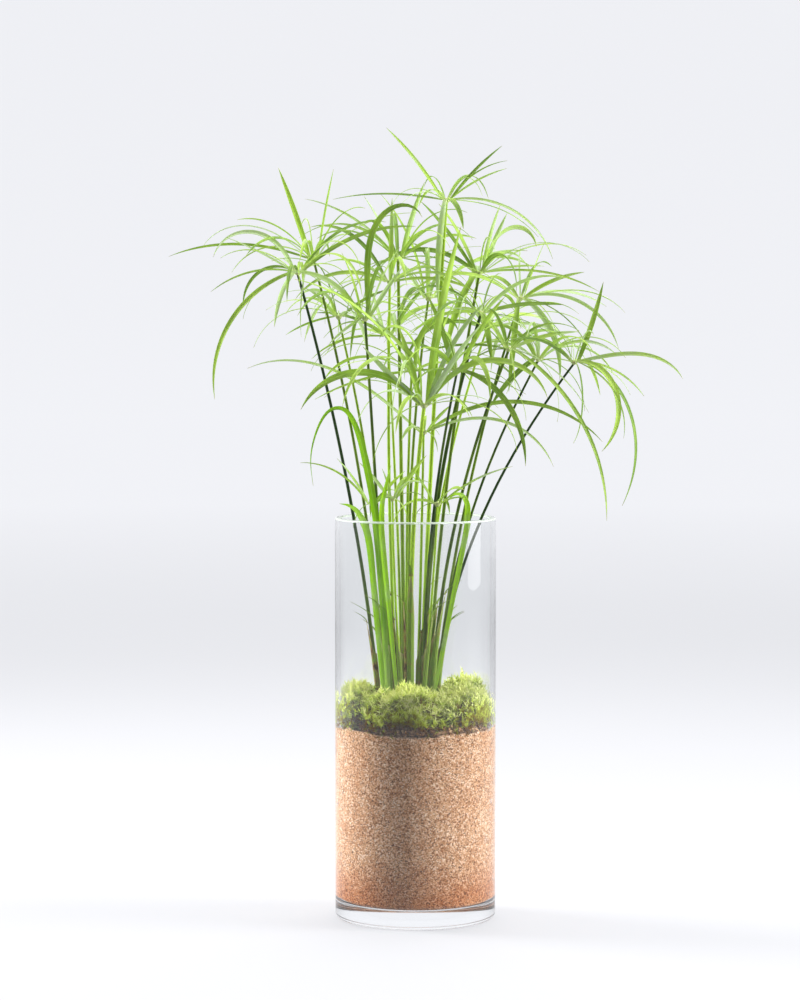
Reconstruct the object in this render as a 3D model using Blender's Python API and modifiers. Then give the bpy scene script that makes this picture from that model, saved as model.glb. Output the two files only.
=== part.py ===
"""Papyrus plant of the umbrella-sedge kind, growing in sand and moss in a clear glass cylinder vase.

Run with: blender --background --python part.py
Lengths in the tables are millimetres and angles are degrees; Blender's own units are metres.
The origin is the centre of the vase's underside, +Z is up and -Y is the side that faces the viewer.
A culm is a bare stem; on its tip stands an umbel, a whorl of long narrow leaves called bracts.
"""

import math
import random

import bmesh
import bpy
from mathutils import Vector

MM = 0.001
GAP = 0.3

# Vase
VASE_RADIUS = 60.0
VASE_HEIGHT = 300.0
WALL = 4.0
FLOOR = 13.5
ROUND = 4.0
RIM_ROUND = 1.6
VASE_SIDES = 40
BORE = VASE_RADIUS - WALL

# Sand, soil and moss
SAND_TOP = 142.0
SOIL_TOP = 150.0
SOIL_RADIUS = 52.0
STEM_ROOM = (-6.0, 3.0, 29.0, 23.0)
MOSS_SIDES = 14

# Stems and umbels
FOOT = SOIL_TOP + GAP
STEM_SIDES = 6
STEM_SPANS = 5
STEM_TAPER = 0.2
HUB_RADIUS = 3.0
HUB_HALF = 0.8
HUB_GAP = 0.6
BRACT_THICKNESS = 0.9
BRACT_STEPS = 24
BRACT_STATIONS = (3, 10, 17)
HUB_SPREAD = 20.0
CELL = 7.0
CLEARANCE = 0.7

# Moss cushions: name, middle x, middle y, reach, height
MOSS = (
    ("moss_left", -44.0, -7.0, 24.0, 27.0),
    ("moss_front", -6.0, -38.0, 31.0, 29.0),
    ("moss_right", 37.0, -23.0, 25.0, 26.0),
    ("moss_back_right", 40.0, 19.0, 25.0, 32.0),
    ("moss_back", 3.0, 42.0, 28.0, 30.0),
    ("moss_back_left", -38.0, 29.0, 25.0, 28.0),
)

# Culms from left to right: foot x y, middle x y z, top x y z, thickness, bracts in all
CULMS = (
    ((-26, 2), (-46, -4, 300), (-87, -12, 482), 2.4, 11),
    ((-22, 10), (-37, 12, 300), (-76, 22, 492), 2.2, 8),
    ((-17, 16), (-30, 26, 300), (-58, 48, 449), 2.1, 8),
    ((-21, -6), (-28, -15, 300), (-37, -38, 448), 2.4, 9),
    ((-16, -12), (-24, -18, 230), (-32, -22, 311), 1.8, 5),
    ((-10, 20), (-14, 40, 300), (-21, 74, 434), 2.1, 8),
    ((-13, 4), (-19, 2, 300), (-19, -6, 475), 2.4, 8),
    ((-9, -13), (-14, -23, 230), (-17, -31, 316), 1.8, 6),
    ((-8, 12), (-10, 22, 300), (-13, 42, 493), 2.8, 8),
    ((-6, -3), (-6, -11, 300), (-3, -30, 409), 2.2, 7),
    ((-3, -11), (-1, -24, 300), (6, -48, 385), 3.4, 8),
    ((1, 3), (4, -1, 260), (6, -9, 364), 2.1, 6),
    ((-2, 20), (-4, 34, 300), (10, 60, 463), 2.2, 8),
    ((4, -14), (11, -24, 230), (16, -31, 312), 1.8, 5),
    ((4, 11), (10, 12, 300), (23, 14, 536), 3.0, 9),
    ((7, -6), (13, -18, 300), (30, -44, 410), 2.2, 7),
    ((9, 3), (15, -3, 300), (48, -16, 452), 2.8, 8),
    ((9, 13), (21, 19, 300), (48, 32, 482), 2.5, 10),
    ((5, 20), (18, 40, 300), (55, 82, 440), 2.1, 8),
    ((12, -9), (30, -17, 300), (68, -34, 426), 2.4, 8),
    ((14, 9), (36, 15, 300), (79, 34, 463), 2.2, 9),
    ((15, 1), (41, -1, 300), (91, -4, 418), 2.0, 8),
    ((16, -5), (49, -9, 300), (117, -14, 416), 2.1, 9),
)

# The bracts that give each umbel its character: azimuth, rise, length, droop, width, lateness of the droop
BRACTS = {
    1: (
        (188, -18, 120, 80, 3.8, 1.0),
        (165, 70, 84, 140, 3.8, 1.3),
        (202, 12, 68, 50, 1.8, 1.0),
        (175, 33, 56, 12, 1.8, 1.0),
        (152, 30, 62, 120, 2.6, 1.0),
        (235, -30, 50, 55, 3.2, 1.0),
        (12, 42, 95, 45, 3.2, 1.2),
        (38, 52, 92, 58, 2.2, 1.2),
    ),
    2: (
        (180, 74, 72, 6, 3.8, 1.0),
        (5, 82, 68, 4, 1.9, 1.0),
        (186, 20, 108, 42, 2.3, 1.2),
        (150, 52, 76, 60, 2.2, 1.2),
    ),
    3: (
        (205, 50, 34, 30, 3.0, 2.0),
        (190, 84, 42, 150, 3.0, 1.5),
        (10, 45, 42, 30, 2.4, 1.0),
        (178, -8, 40, 25, 1.8, 1.0),
    ),
    4: (
        (350, 92, 112, 165, 5.0, 3.5),
        (190, 62, 68, 70, 3.8, 1.3),
        (158, 46, 62, 20, 2.0, 1.0),
        (200, -30, 32, 15, 2.2, 1.0),
        (20, 60, 46, 10, 3.2, 1.0),
        (338, -30, 56, 30, 2.8, 1.0),
    ),
    5: (
        (172, 58, 62, 60, 1.8, 1.2),
        (200, 62, 42, 15, 2.6, 1.0),
        (30, 55, 34, 20, 2.4, 1.0),
    ),
    6: (
        (182, 4, 60, 50, 1.9, 1.3),
        (165, 40, 60, 45, 2.2, 1.0),
        (350, -35, 40, 25, 3.0, 1.0),
    ),
    7: (
        (85, 82, 66, 20, 3.4, 1.0),
        (355, 12, 66, 45, 2.4, 1.2),
        (215, 40, 60, 60, 2.6, 1.2),
    ),
    8: (
        (170, 56, 34, 12, 2.8, 1.0),
        (350, 58, 40, 10, 4.0, 1.0),
        (250, 70, 26, 20, 2.4, 1.0),
    ),
    9: (
        (8, 42, 62, 60, 2.6, 1.2),
        (95, 60, 78, 70, 3.2, 1.2),
    ),
    10: (
        (345, 86, 64, 170, 4.6, 2.4),
        (188, -4, 72, 25, 2.0, 1.0),
    ),
    11: (
        (190, 54, 106, 118, 5.4, 1.1),
        (208, 72, 150, 62, 5.0, 0.9),
        (20, 82, 80, 20, 5.0, 1.5),
        (352, 60, 112, 132, 4.6, 1.3),
        (300, 30, 66, 80, 3.6, 1.2),
    ),
    12: (
        (355, 36, 143, 84, 3.6, 1.15),
        (332, 22, 118, 88, 2.6, 1.5),
        (184, 42, 144, 66, 2.8, 2.0),
        (330, 50, 28, 10, 3.2, 1.0),
    ),
    13: (
        (178, 58, 122, 48, 2.2, 1.6),
        (160, 84, 88, 36, 2.0, 1.0),
    ),
    14: (
        (8, 42, 60, 30, 1.8, 1.0),
        (200, 60, 30, 10, 2.4, 1.0),
    ),
    15: (
        (180, 60, 68, 16, 2.7, 1.0),
        (5, 53, 56, 14, 2.7, 1.0),
        (340, 40, 50, 26, 1.7, 1.0),
        (356, 8, 96, 80, 2.2, 1.1),
        (290, 0, 42, 70, 3.8, 1.0),
        (184, 10, 82, 22, 2.1, 1.2),
        (258, -40, 84, 50, 5.2, 0.6),
    ),
    16: (
        (342, -8, 92, 84, 4.2, 0.8),
        (300, 44, 70, 140, 4.0, 1.1),
        (180, 4, 58, 20, 1.8, 1.0),
    ),
    17: (
        (8, 18, 60, 25, 3.2, 1.0),
        (285, -30, 46, 50, 4.4, 1.0),
        (196, 10, 56, 55, 2.4, 1.0),
    ),
    18: (
        (190, 56, 68, 12, 3.8, 2.0),
        (355, 71, 48, 6, 3.8, 1.0),
        (335, 72, 76, 150, 4.4, 2.0),
        (300, 50, 72, 150, 3.8, 1.2),
        (216, -50, 66, 30, 5.0, 1.0),
        (12, 16, 48, 20, 1.8, 1.0),
        (352, 8, 90, 38, 2.0, 1.2),
        (172, 46, 92, 88, 4.0, 1.2),
    ),
    19: (
        (40, 30, 84, 80, 3.4, 1.2),
        (110, 40, 78, 90, 3.4, 1.2),
    ),
    20: (
        (350, -32, 150, 58, 3.2, 1.0),
        (10, 26, 52, 25, 3.2, 1.0),
        (182, 12, 62, 30, 2.2, 1.0),
    ),
    21: (
        (18, 71, 46, 5, 2.3, 1.0),
        (345, 38, 50, 30, 3.2, 1.0),
        (2, 18, 90, 92, 2.8, 1.0),
        (322, -28, 74, 66, 4.5, 1.0),
        (250, -55, 74, 32, 4.4, 0.7),
        (28, 20, 76, 50, 2.0, 1.0),
    ),
    22: (
        (195, -34, 50, 25, 4.2, 1.0),
        (340, 40, 62, 80, 3.2, 1.2),
    ),
    23: (
        (10, 67, 62, -10, 3.8, 1.0),
        (355, 12, 84, 74, 3.2, 2.4),
        (8, 0, 128, 115, 3.8, 0.6),
        (335, 10, 88, 145, 4.5, 0.75),
        (300, -45, 68, 95, 3.2, 0.9),
        (20, 0, 62, 52, 1.8, 1.0),
    ),
}

# Leaves that rise from the moss beside the culms: name, route points, greatest width
LEAVES = (
    (
        "leaf_tall",
        ((-19, -14, 151), (-24, -23, 235), (-29, -28, 298), (-35, -33, 335), (-42, -37, 364))
        + ((-51, -40, 381), (-63, -41, 381), (-72, -41, 367), (-77, -40, 346), (-75, -39, 325)),
        5.6,
    ),
    (
        "leaf_left",
        ((-22, -9, 151), (-29, -19, 230), (-34, -25, 285), (-41, -29, 303), (-48, -31, 310), (-56, -32, 312)),
        5.2,
    ),
    (
        "leaf_middle",
        ((-12, -15, 151), (-19, -28, 230), (-25, -38, 300), (-22, -42, 325), (-18, -44, 341)),
        4.4,
    ),
    (
        "leaf_right",
        ((10, -13, 151), (23, -25, 220), (35, -32, 285), (38, -34, 305), (37, -36, 314))
        + ((33, -38, 319), (28, -40, 319), (23, -41, 314)),
        4.6,
    ),
)


def material(name, color, roughness):
    """A Principled material with one colour."""
    new = bpy.data.materials.new(name)
    new.use_nodes = True
    shader = new.node_tree.nodes["Principled BSDF"]
    shader.inputs["Base Color"].default_value = (*color, 1.0)
    shader.inputs["Roughness"].default_value = roughness
    return new


def place(name, mesh, collection, look):
    """Puts a mesh in the collection as one named piece."""
    piece = bpy.data.objects.new(name, mesh)
    piece.data.materials.append(look)
    collection.objects.link(piece)
    return piece


def mesh_from(name, shape):
    """A mesh in metres from a bmesh in millimetres."""
    bmesh.ops.scale(shape, vec=(MM, MM, MM), verts=shape.verts)
    bmesh.ops.recalc_face_normals(shape, faces=shape.faces)
    mesh = bpy.data.meshes.new(name)
    shape.to_mesh(mesh)
    shape.free()
    return mesh


def loft(rings, bottom, top):
    """A closed body through rings of the same number of points, closed by a point at each end."""
    shape = bmesh.new()
    rows = [[shape.verts.new(point) for point in ring] for ring in rings]
    sides = len(rows[0])
    for low, high in zip(rows, rows[1:]):
        for i in range(sides):
            j = (i + 1) % sides
            shape.faces.new((low[i], low[j], high[j], high[i]))
    for row, end in ((rows[0], bottom), (rows[-1], top)):
        tip = shape.verts.new(end)
        for i in range(sides):
            shape.faces.new((row[i], row[(i + 1) % sides], tip))
    return shape


def turned_angle(i, sides):
    return math.tau * i / sides


# Vase, sand, soil and moss


def make_vase(collection):
    """A thick-based glass cylinder, turned from its profile."""
    inner_round = ROUND - 1.0
    points = [(0, FLOOR)]
    for i in range(3):
        turn = math.radians(45 * i)
        points.append((BORE - inner_round + inner_round * math.sin(turn), FLOOR + inner_round * (1 - math.cos(turn))))
    points.append((BORE, VASE_HEIGHT - RIM_ROUND))
    points.append((BORE + RIM_ROUND * 0.6, VASE_HEIGHT))
    points.append((VASE_RADIUS - RIM_ROUND * 0.6, VASE_HEIGHT))
    points.append((VASE_RADIUS, VASE_HEIGHT - RIM_ROUND))
    for i in range(3):
        turn = math.radians(45 * i)
        points.append((VASE_RADIUS - ROUND + ROUND * math.cos(turn), ROUND - ROUND * math.sin(turn)))
    points.append((0, 0))
    mesh = bpy.data.meshes.new("vase")
    edges = [(i, i + 1) for i in range(len(points) - 1)]
    mesh.from_pydata([(x * MM, 0, z * MM) for x, z in points], edges, [])
    vase = place("vase", mesh, collection, material("clear_glass", (0.93, 0.97, 0.96), 0.05))
    turn = vase.modifiers.new("turn", "SCREW")
    turn.steps = VASE_SIDES
    turn.render_steps = VASE_SIDES
    turn.use_merge_vertices = True
    turn.merge_threshold = 0.0001


def sand_height(x, y):
    """The sand's surface, level under the soil and wavy beside the glass."""
    edge = max(0.0, (math.hypot(x, y) - SOIL_RADIUS) / (BORE - SOIL_RADIUS))
    wave = 1.6 * math.sin(2.2 * math.atan2(y, x) + 0.6) + 1.0 * math.sin(5.0 * math.atan2(y, x))
    return SAND_TOP + edge * wave


def make_sand(collection):
    """The bed of sand that fills the lower half of the vase."""
    bed = BORE - GAP
    floor = FLOOR + GAP
    profile = ((bed - 3.2, floor), (bed - 0.9, floor + 1.1), (bed, floor + 3.4), (bed, None), (SOIL_RADIUS, None))
    rings = []
    for radius, height in profile:
        ring = []
        for i in range(VASE_SIDES):
            x = radius * math.cos(turned_angle(i, VASE_SIDES))
            y = radius * math.sin(turned_angle(i, VASE_SIDES))
            ring.append((x, y, sand_height(x, y) if height is None else height))
        rings.append(ring)
    shape = loft(rings, (0, 0, floor), (0, 0, SAND_TOP))
    place("sand", mesh_from("sand", shape), collection, material("sand", (0.55, 0.38, 0.22), 0.9))


def soil_reach(turn):
    """How far the soil reaches from the middle: back from the glass at the front left, close to it elsewhere."""
    front_left = math.radians(240)
    return SOIL_RADIUS - 1.5 - 5.0 * max(0.0, math.cos(turn - front_left)) ** 2 + 0.9 * math.sin(5 * turn)


def make_soil(collection):
    """The flat clod of soil and roots that the culms stand in."""
    sides = 22
    low = SAND_TOP + GAP
    rings = []
    for share, height in ((0.97, low), (1.0, low + 3.0), (0.95, SOIL_TOP)):
        ring = []
        for i in range(sides):
            reach = share * soil_reach(turned_angle(i, sides))
            ring.append((reach * math.cos(turned_angle(i, sides)), reach * math.sin(turned_angle(i, sides)), height))
        rings.append(ring)
    shape = loft(rings, (0, 0, low), (0, 0, SOIL_TOP))
    place("soil", mesh_from("soil", shape), collection, material("soil", (0.10, 0.06, 0.03), 0.95))


def is_free(point, middle):
    """True where a cushion may lie: inside the glass, off the stems and nearer its own middle than any other."""
    wall = 0.9
    if point.length > BORE - wall:
        return False
    room_x, room_y, half_x, half_y = STEM_ROOM
    if math.hypot((point.x - room_x) / half_x, (point.y - room_y) / half_y) < 1.0:
        return False
    own = (point - middle).length
    others = [Vector((x, y)) for _, x, y, _, _ in MOSS if (x, y) != tuple(middle)]
    return all((point - other).length > own + 2 * wall for other in others)


def moss_reach(middle, turn, most):
    """How far a cushion reaches from its middle in one direction."""
    step = 0.5
    heading = Vector((math.cos(turn), math.sin(turn)))
    reach = step
    while reach < most and is_free(middle + heading * (reach + step), middle):
        reach += step
    return reach


def make_moss(collection, name, x, y, reach, height, look):
    """A domed cushion of moss with a flat underside on the soil."""
    middle = Vector((x, y))
    low = SOIL_TOP + GAP
    reaches = [moss_reach(middle, turned_angle(i, MOSS_SIDES), reach) for i in range(MOSS_SIDES)]
    rings = []
    for share, rise in ((0.9, 0.0), (1.0, 0.3), (0.88, 0.7), (0.5, 0.95)):
        ring = []
        for i, own in enumerate(reaches):
            turn = turned_angle(i, MOSS_SIDES)
            ring.append((x + share * own * math.cos(turn), y + share * own * math.sin(turn), low + rise * height))
        rings.append(ring)
    shape = loft(rings, (x, y, low), (x, y, low + height))
    place(name, mesh_from(name, shape), collection, look)


# Where the culms and bracts run


def culm_line(foot, middle, top, spans):
    """Points up a culm: one smooth curve through its foot, its middle and its top."""
    low, high = FOOT, top[2] - HUB_HALF - HUB_GAP
    knots = (low, middle[2], high)
    places = (Vector(foot), Vector(middle[:2]), Vector(top[:2]))
    points = []
    for i in range(spans + 1):
        z = low + (high - low) * i / spans
        spot = Vector((0.0, 0.0))
        for a in range(3):
            b, c = (k for k in range(3) if k != a)
            spot += places[a] * ((z - knots[b]) * (z - knots[c]) / ((knots[a] - knots[b]) * (knots[a] - knots[c])))
        points.append(Vector((spot.x, spot.y, z)))
    return points


def bract_line(hub, azimuth, rise, length, droop, late):
    """Points along a bract, which leaves the hub at its rise and bends over by its droop."""
    heading = Vector((math.cos(math.radians(azimuth)), math.sin(math.radians(azimuth)), 0.0))
    point = hub + heading * HUB_RADIUS
    points = [point]
    for i in range(BRACT_STEPS):
        share = (i + 0.5) / BRACT_STEPS
        tilt = math.radians(rise - droop * share**late)
        point = point + (heading * math.cos(tilt) + Vector((0.0, 0.0, math.sin(tilt)))) * (length / BRACT_STEPS)
        points.append(point)
    return points


def bract_width(share):
    """A bract's width as a share of its greatest: narrow at the hub, full at two fifths, pointed at the tip."""
    if share < 0.4:
        return 0.5 + 0.5 * math.sin(math.radians(90) * share / 0.4)
    return max(0.0, 1.0 - ((share - 0.4) / 0.6) ** 1.8)


class Crowd:
    """The space that stems, leaves and bracts already take, as small balls sorted into cells."""

    def __init__(self):
        self.cells = {}

    def cell(self, point):
        return tuple(int(math.floor(value / CELL)) for value in point)

    def add(self, owner, balls):
        for point, radius in balls:
            self.cells.setdefault(self.cell(point), []).append((owner, point, radius))

    def touches(self, owner, hub, balls):
        """True where a ball comes too near another's, apart from its own umbel close to the hub."""
        near_hub = 9.0
        for point, radius in balls:
            at_hub = (point - hub).length < near_hub
            x, y, z = self.cell(point)
            for key in [(x + i, y + j, z + k) for i in (-1, 0, 1) for j in (-1, 0, 1) for k in (-1, 0, 1)]:
                for other, spot, size in self.cells.get(key, ()):
                    if other == owner and (at_hub or (spot - hub).length < near_hub):
                        continue
                    if (point - spot).length < radius + size + CLEARANCE:
                        return True
        return False


def balls_along(points, radii, spacing=1.5):
    """Balls strung along a line of points."""
    balls = []
    for i in range(len(points) - 1):
        count = max(1, round((points[i + 1] - points[i]).length / spacing))
        for k in range(count):
            share = k / count
            balls.append((points[i].lerp(points[i + 1], share), radii[i] + (radii[i + 1] - radii[i]) * share))
    balls.append((points[-1], radii[-1]))
    return balls


def bract_balls(points, width):
    stations = (0, *BRACT_STATIONS, BRACT_STEPS)
    radii = [width / 2 * bract_width(i / BRACT_STEPS) for i in stations]
    return balls_along([points[i] for i in stations], radii)


def more_bracts(number, have, wanted, lean):
    """Bracts that fill an umbel up to its count, in the widest gaps between those it has."""
    chance = random.Random(100 + number)
    bracts = list(have)
    while len(bracts) < wanted:
        turns = sorted(bract[0] % 360 for bract in bracts) or [0.0]
        gaps = [((turns[(i + 1) % len(turns)] - turn) % 360 or 360.0, turn) for i, turn in enumerate(turns)]
        gap, turn = max(gaps)
        azimuth = turn + gap * chance.uniform(0.4, 0.6)
        slope = lean * math.cos(math.radians(azimuth))
        rise = chance.uniform(14, 58) - 0.5 * slope
        size = chance.uniform(0.75, 1.1) * (90 if wanted > 6 else 45)
        bracts.append((azimuth, rise, size, chance.uniform(55, 110), chance.uniform(2.4, 3.8), chance.uniform(1.0, 1.5)))
    return bracts


def settle_bract(crowd, number, hub, bract):
    """The bract swung aside until it clears its neighbours, or None where there is no room for it."""
    azimuth, rise, length, droop, width, late = bract
    for lift in (0, 6, -6, 12):
        for swing in (0, 4, -4, 8, -8, 12, -12, 17, -17):
            points = bract_line(hub, azimuth + swing, rise + lift, length, droop, late)
            balls = bract_balls(points, width)
            if not crowd.touches(number, hub, balls):
                crowd.add(number, balls)
                return azimuth + swing, points, width
    return None


def settle_all():
    """Every umbel's bracts, as (azimuth, points, width), none of which meet."""
    crowd = Crowd()
    for number, (foot, middle, top, thickness, _) in enumerate(CULMS, 1):
        line = culm_line(foot, middle, top, STEM_SPANS)
        crowd.add(number, balls_along(line, [thickness / 2 * (1 + STEM_TAPER)] * len(line)))
        crowd.add(number, [(Vector(top), HUB_RADIUS)])
    for name, route, width in LEAVES:
        points = [Vector(point) for point in route]
        crowd.add(name, balls_along(points, [width / 2 * leaf_width(i / (len(route) - 1)) for i in range(len(route))]))
    umbels = {number: [] for number in range(1, len(CULMS) + 1)}
    for given in (True, False):
        for number, (foot, middle, top, _, wanted) in enumerate(CULMS, 1):
            have = BRACTS.get(number, ())
            lean = math.degrees(math.atan2(top[0] - middle[0], top[2] - middle[2]))
            bracts = have if given else more_bracts(number, have, wanted, lean)[len(have):]
            for bract in bracts:
                settled = settle_bract(crowd, number, Vector(top), bract)
                if settled:
                    umbels[number].append(settled)
    return umbels


# Stems, umbels and leaves


def make_stem(collection, number, foot, middle, top, thickness, look):
    """A culm: a round rod along its curve, closed at both ends."""
    curve = bpy.data.curves.new(f"stem_{number:02d}", "CURVE")
    curve.dimensions = "3D"
    curve.bevel_depth = thickness / 2 * MM
    curve.bevel_resolution = STEM_SIDES // 2 - 2
    curve.use_fill_caps = True
    spline = curve.splines.new("POLY")
    points = culm_line(foot, middle, top, STEM_SPANS)
    spline.points.add(len(points) - 1)
    for i, (knot, point) in enumerate(zip(spline.points, points)):
        knot.co = (*(point * MM), 1.0)
        knot.radius = 1 + STEM_TAPER * (1 - 2 * i / STEM_SPANS)
    stem = bpy.data.objects.new(curve.name, curve)
    curve.materials.append(look)
    collection.objects.link(stem)


def spread_turns(turns):
    """Sorted azimuths moved apart to where a side of the hub fits each."""
    turns = list(turns)
    count = len(turns)
    for _ in range(60):
        for i in range(count):
            j = (i + 1) % count
            gap = turns[j] - turns[i] + (360 if j == 0 else 0)
            if count > 1 and gap < HUB_SPREAD:
                turns[i] -= (HUB_SPREAD - gap) / 2
                turns[j] += (HUB_SPREAD - gap) / 2
    return turns


def hub_corners(turns):
    """The hub's corners: one between two bracts that stand close, two or more across a wider gap."""
    corners = []
    for turn, following in zip(turns, turns[1:] + [turns[0] + 360]):
        gap = following - turn
        if gap < 1.6 * HUB_SPREAD:
            corners.append(turn + gap / 2)
        else:
            start, end = turn + HUB_SPREAD / 2, following - HUB_SPREAD / 2
            plain = 1 + int((end - start) // 50)
            corners.extend(start + (end - start) * k / plain for k in range(plain + 1))
    return corners


def make_umbel(collection, number, top, bracts, look):
    """A hub with one side for each bract; each such side is drawn out into its bract, down to a point."""
    bracts = sorted(bracts, key=lambda bract: bract[0] % 360)
    turns = spread_turns(bract[0] % 360 for bract in bracts)
    shape = bmesh.new()
    hub = Vector(top)
    low = []
    for turn in hub_corners(turns):
        spoke = Vector((math.cos(math.radians(turn)), math.sin(math.radians(turn)), 0.0)) * HUB_RADIUS
        low.append(shape.verts.new(hub + spoke - Vector((0, 0, HUB_HALF))))
    base = shape.faces.new(low)
    raised = bmesh.ops.extrude_face_region(shape, geom=[base])["geom"]
    bmesh.ops.translate(shape, vec=(0, 0, 2 * HUB_HALF), verts=[v for v in raised if isinstance(v, bmesh.types.BMVert)])
    walls = [face for face in shape.faces if abs(face.calc_center_median().z - hub.z) < HUB_HALF / 2]
    facings = [Vector((math.cos(math.radians(turn)), math.sin(math.radians(turn)), 0.0)) for turn in turns]
    sides = [max(walls, key=lambda wall: (wall.calc_center_median() - hub).normalized().dot(way)) for way in facings]
    for side, facing, (_, points, width) in zip(sides, facings, bracts):
        draw_out(shape, side, hub, facing, points, width)
    place(f"umbel_{number:02d}", mesh_from("umbel", shape), collection, look)


def draw_out(shape, side, hub, facing, points, width):
    """Extrudes one side of the hub along a bract's points and closes it to the tip."""
    across = Vector((-facing.y, facing.x, 0.0))
    signs = [(math.copysign(1, (v.co - hub).dot(across)), math.copysign(1, v.co.z - hub.z)) for v in side.verts]
    heading = (points[-1] - points[0]).to_2d().normalized()
    flat = Vector((-heading.y, heading.x, 0.0))
    face = side
    for station in BRACT_STATIONS:
        along = (points[station + 1] - points[station - 1]).normalized()
        up = along.cross(flat).normalized()
        reach = width / 2 * bract_width(station / BRACT_STEPS)
        face = bmesh.ops.extrude_discrete_faces(shape, faces=[face])["faces"][0]
        for vert, (left, high) in zip(face.verts, signs):
            vert.co = points[station] + flat * (left * reach) + up * (high * BRACT_THICKNESS / 2)
    face = bmesh.ops.extrude_discrete_faces(shape, faces=[face])["faces"][0]
    bmesh.ops.pointmerge(shape, verts=face.verts[:], merge_co=points[-1])


def leaf_width(share):
    """A basal leaf's width as a share of its greatest: half at the moss, full at two fifths, pointed at the tip."""
    if share < 0.4:
        return 0.55 + 0.45 * share / 0.4
    return max(0.0, 1.0 - ((share - 0.4) / 0.6) ** 1.6)


def make_leaf(collection, name, route, width, look):
    """A flat leaf through its route points, blunt in the moss and pointed at the tip."""
    points = [Vector(point) for point in route]
    rings = []
    for i, point in enumerate(points[:-1]):
        along = (points[i + 1] - points[max(0, i - 1)]).normalized()
        across = along.cross(Vector((0.0, 1.0, 0.0))).normalized()
        up = across.cross(along).normalized() * (BRACT_THICKNESS / 2)
        reach = across * (width / 2 * leaf_width(i / (len(points) - 1)))
        rings.append((point - reach - up, point + reach - up, point + reach + up, point - reach + up))
    shape = loft(rings, points[0], points[-1])
    place(name, mesh_from(name, shape), collection, look)


def main():
    for old in list(bpy.data.objects):
        bpy.data.objects.remove(old, do_unlink=True)
    plant = bpy.data.collections.new("potted_papyrus")
    bpy.context.scene.collection.children.link(plant)
    make_vase(plant)
    make_sand(plant)
    make_soil(plant)
    moss_look = material("moss", (0.22, 0.30, 0.05), 0.95)
    for name, x, y, reach, height in MOSS:
        make_moss(plant, name, x, y, reach, height, moss_look)
    stem_look = material("stem_green", (0.08, 0.20, 0.03), 0.5)
    leaf_look = material("leaf_green", (0.27, 0.48, 0.06), 0.5)
    umbels = settle_all()
    for number, (foot, middle, top, thickness, _) in enumerate(CULMS, 1):
        make_stem(plant, number, foot, middle, top, thickness, stem_look)
        make_umbel(plant, number, top, umbels[number], leaf_look)
    for name, route, width in LEAVES:
        make_leaf(plant, name, route, width, leaf_look)


main()
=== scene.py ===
"""Papyrus plant of the umbrella-sedge kind, growing in sand and moss in a clear glass cylinder vase.

Lengths in the tables are millimetres and angles are degrees; Blender's own units are metres.
The origin is the centre of the vase's underside, +Z is up and -Y is the side that faces the viewer.
A culm is a bare stem; on its tip stands an umbel, a whorl of long narrow leaves called bracts.
"""

import math
import random

import bmesh
import bpy
import numpy as np
from mathutils import Matrix, Vector, noise


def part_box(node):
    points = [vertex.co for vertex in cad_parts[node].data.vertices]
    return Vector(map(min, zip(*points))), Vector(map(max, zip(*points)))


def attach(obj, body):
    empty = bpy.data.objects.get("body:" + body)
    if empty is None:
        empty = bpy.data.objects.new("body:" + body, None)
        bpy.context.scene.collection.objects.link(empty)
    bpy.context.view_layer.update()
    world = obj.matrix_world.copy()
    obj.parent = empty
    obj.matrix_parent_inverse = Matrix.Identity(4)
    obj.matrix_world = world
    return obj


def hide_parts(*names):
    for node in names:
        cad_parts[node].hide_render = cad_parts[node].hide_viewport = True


bl_info = {
    "name": "Potted papyrus",
    "version": (1, 0, 0),
    "blender": (4, 5, 0),
    "location": "3D View > Sidebar > Papyrus",
    "description": "Builds a papyrus plant that grows in sand and moss in a glass vase",
    "category": "Object",
}

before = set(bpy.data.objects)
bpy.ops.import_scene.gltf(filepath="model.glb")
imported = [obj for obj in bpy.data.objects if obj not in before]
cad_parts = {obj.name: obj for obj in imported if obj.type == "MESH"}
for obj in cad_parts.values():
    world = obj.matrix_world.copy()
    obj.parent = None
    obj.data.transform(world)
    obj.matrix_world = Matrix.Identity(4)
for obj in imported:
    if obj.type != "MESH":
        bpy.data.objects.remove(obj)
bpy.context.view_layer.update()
GLASS_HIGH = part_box("vase")[1]

MM = 0.001
GAP = 0.3
FLOOR = 13.5
BORE = 56.0
GLASS_IOR = 1.52
FOOT_ROUND = 4.0
WELL_ROUND = 3.0
RIM_ROUND = 1.5

# Sand, soil and moss
SAND_TOP = 142.0
SOIL_TOP = 150.0
SOIL_RADIUS = 52.0
STEM_ROOM = (-6.0, 3.0, 29.0, 23.0)
CRUMBS = 1500
ROOTS = 90
GAP_SHOOTS = 1100
CUSHION_SIDES = 48

# Where the moss's dark brown underside, partly its own brown and partly painted shade, shows higher along the glass:
# azimuth, half width of the place, height it adds
BROWN_SHADE_PLACES = ((205, 34, 11.0), (263, 10, 8.0), (328, 16, 8.0))
# Azimuths where hardly any moss hangs over the soil's edge
BARE_PLACES = (-97, -30)

# Stems and umbels
FOOT = SOIL_TOP + GAP
STEM_SPANS = 5
STEM_TAPER = 0.2
HUB_RADIUS = 3.0
HUB_HALF = 0.8
HUB_GAP = 0.6
BRACT_STEPS = 24
BRACT_STATIONS = (3, 10, 17)
CELL = 7.0
CLEARANCE = 0.7

# Moss cushions: name, middle x, middle y, reach, height
MOSS = (
    ("moss_left", -44.0, -7.0, 24.0, 27.0),
    ("moss_front", -6.0, -38.0, 31.0, 29.0),
    ("moss_right", 37.0, -23.0, 25.0, 26.0),
    ("moss_back_right", 40.0, 19.0, 25.0, 32.0),
    ("moss_back", 3.0, 42.0, 28.0, 30.0),
    ("moss_back_left", -38.0, 29.0, 25.0, 28.0),
)

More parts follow.
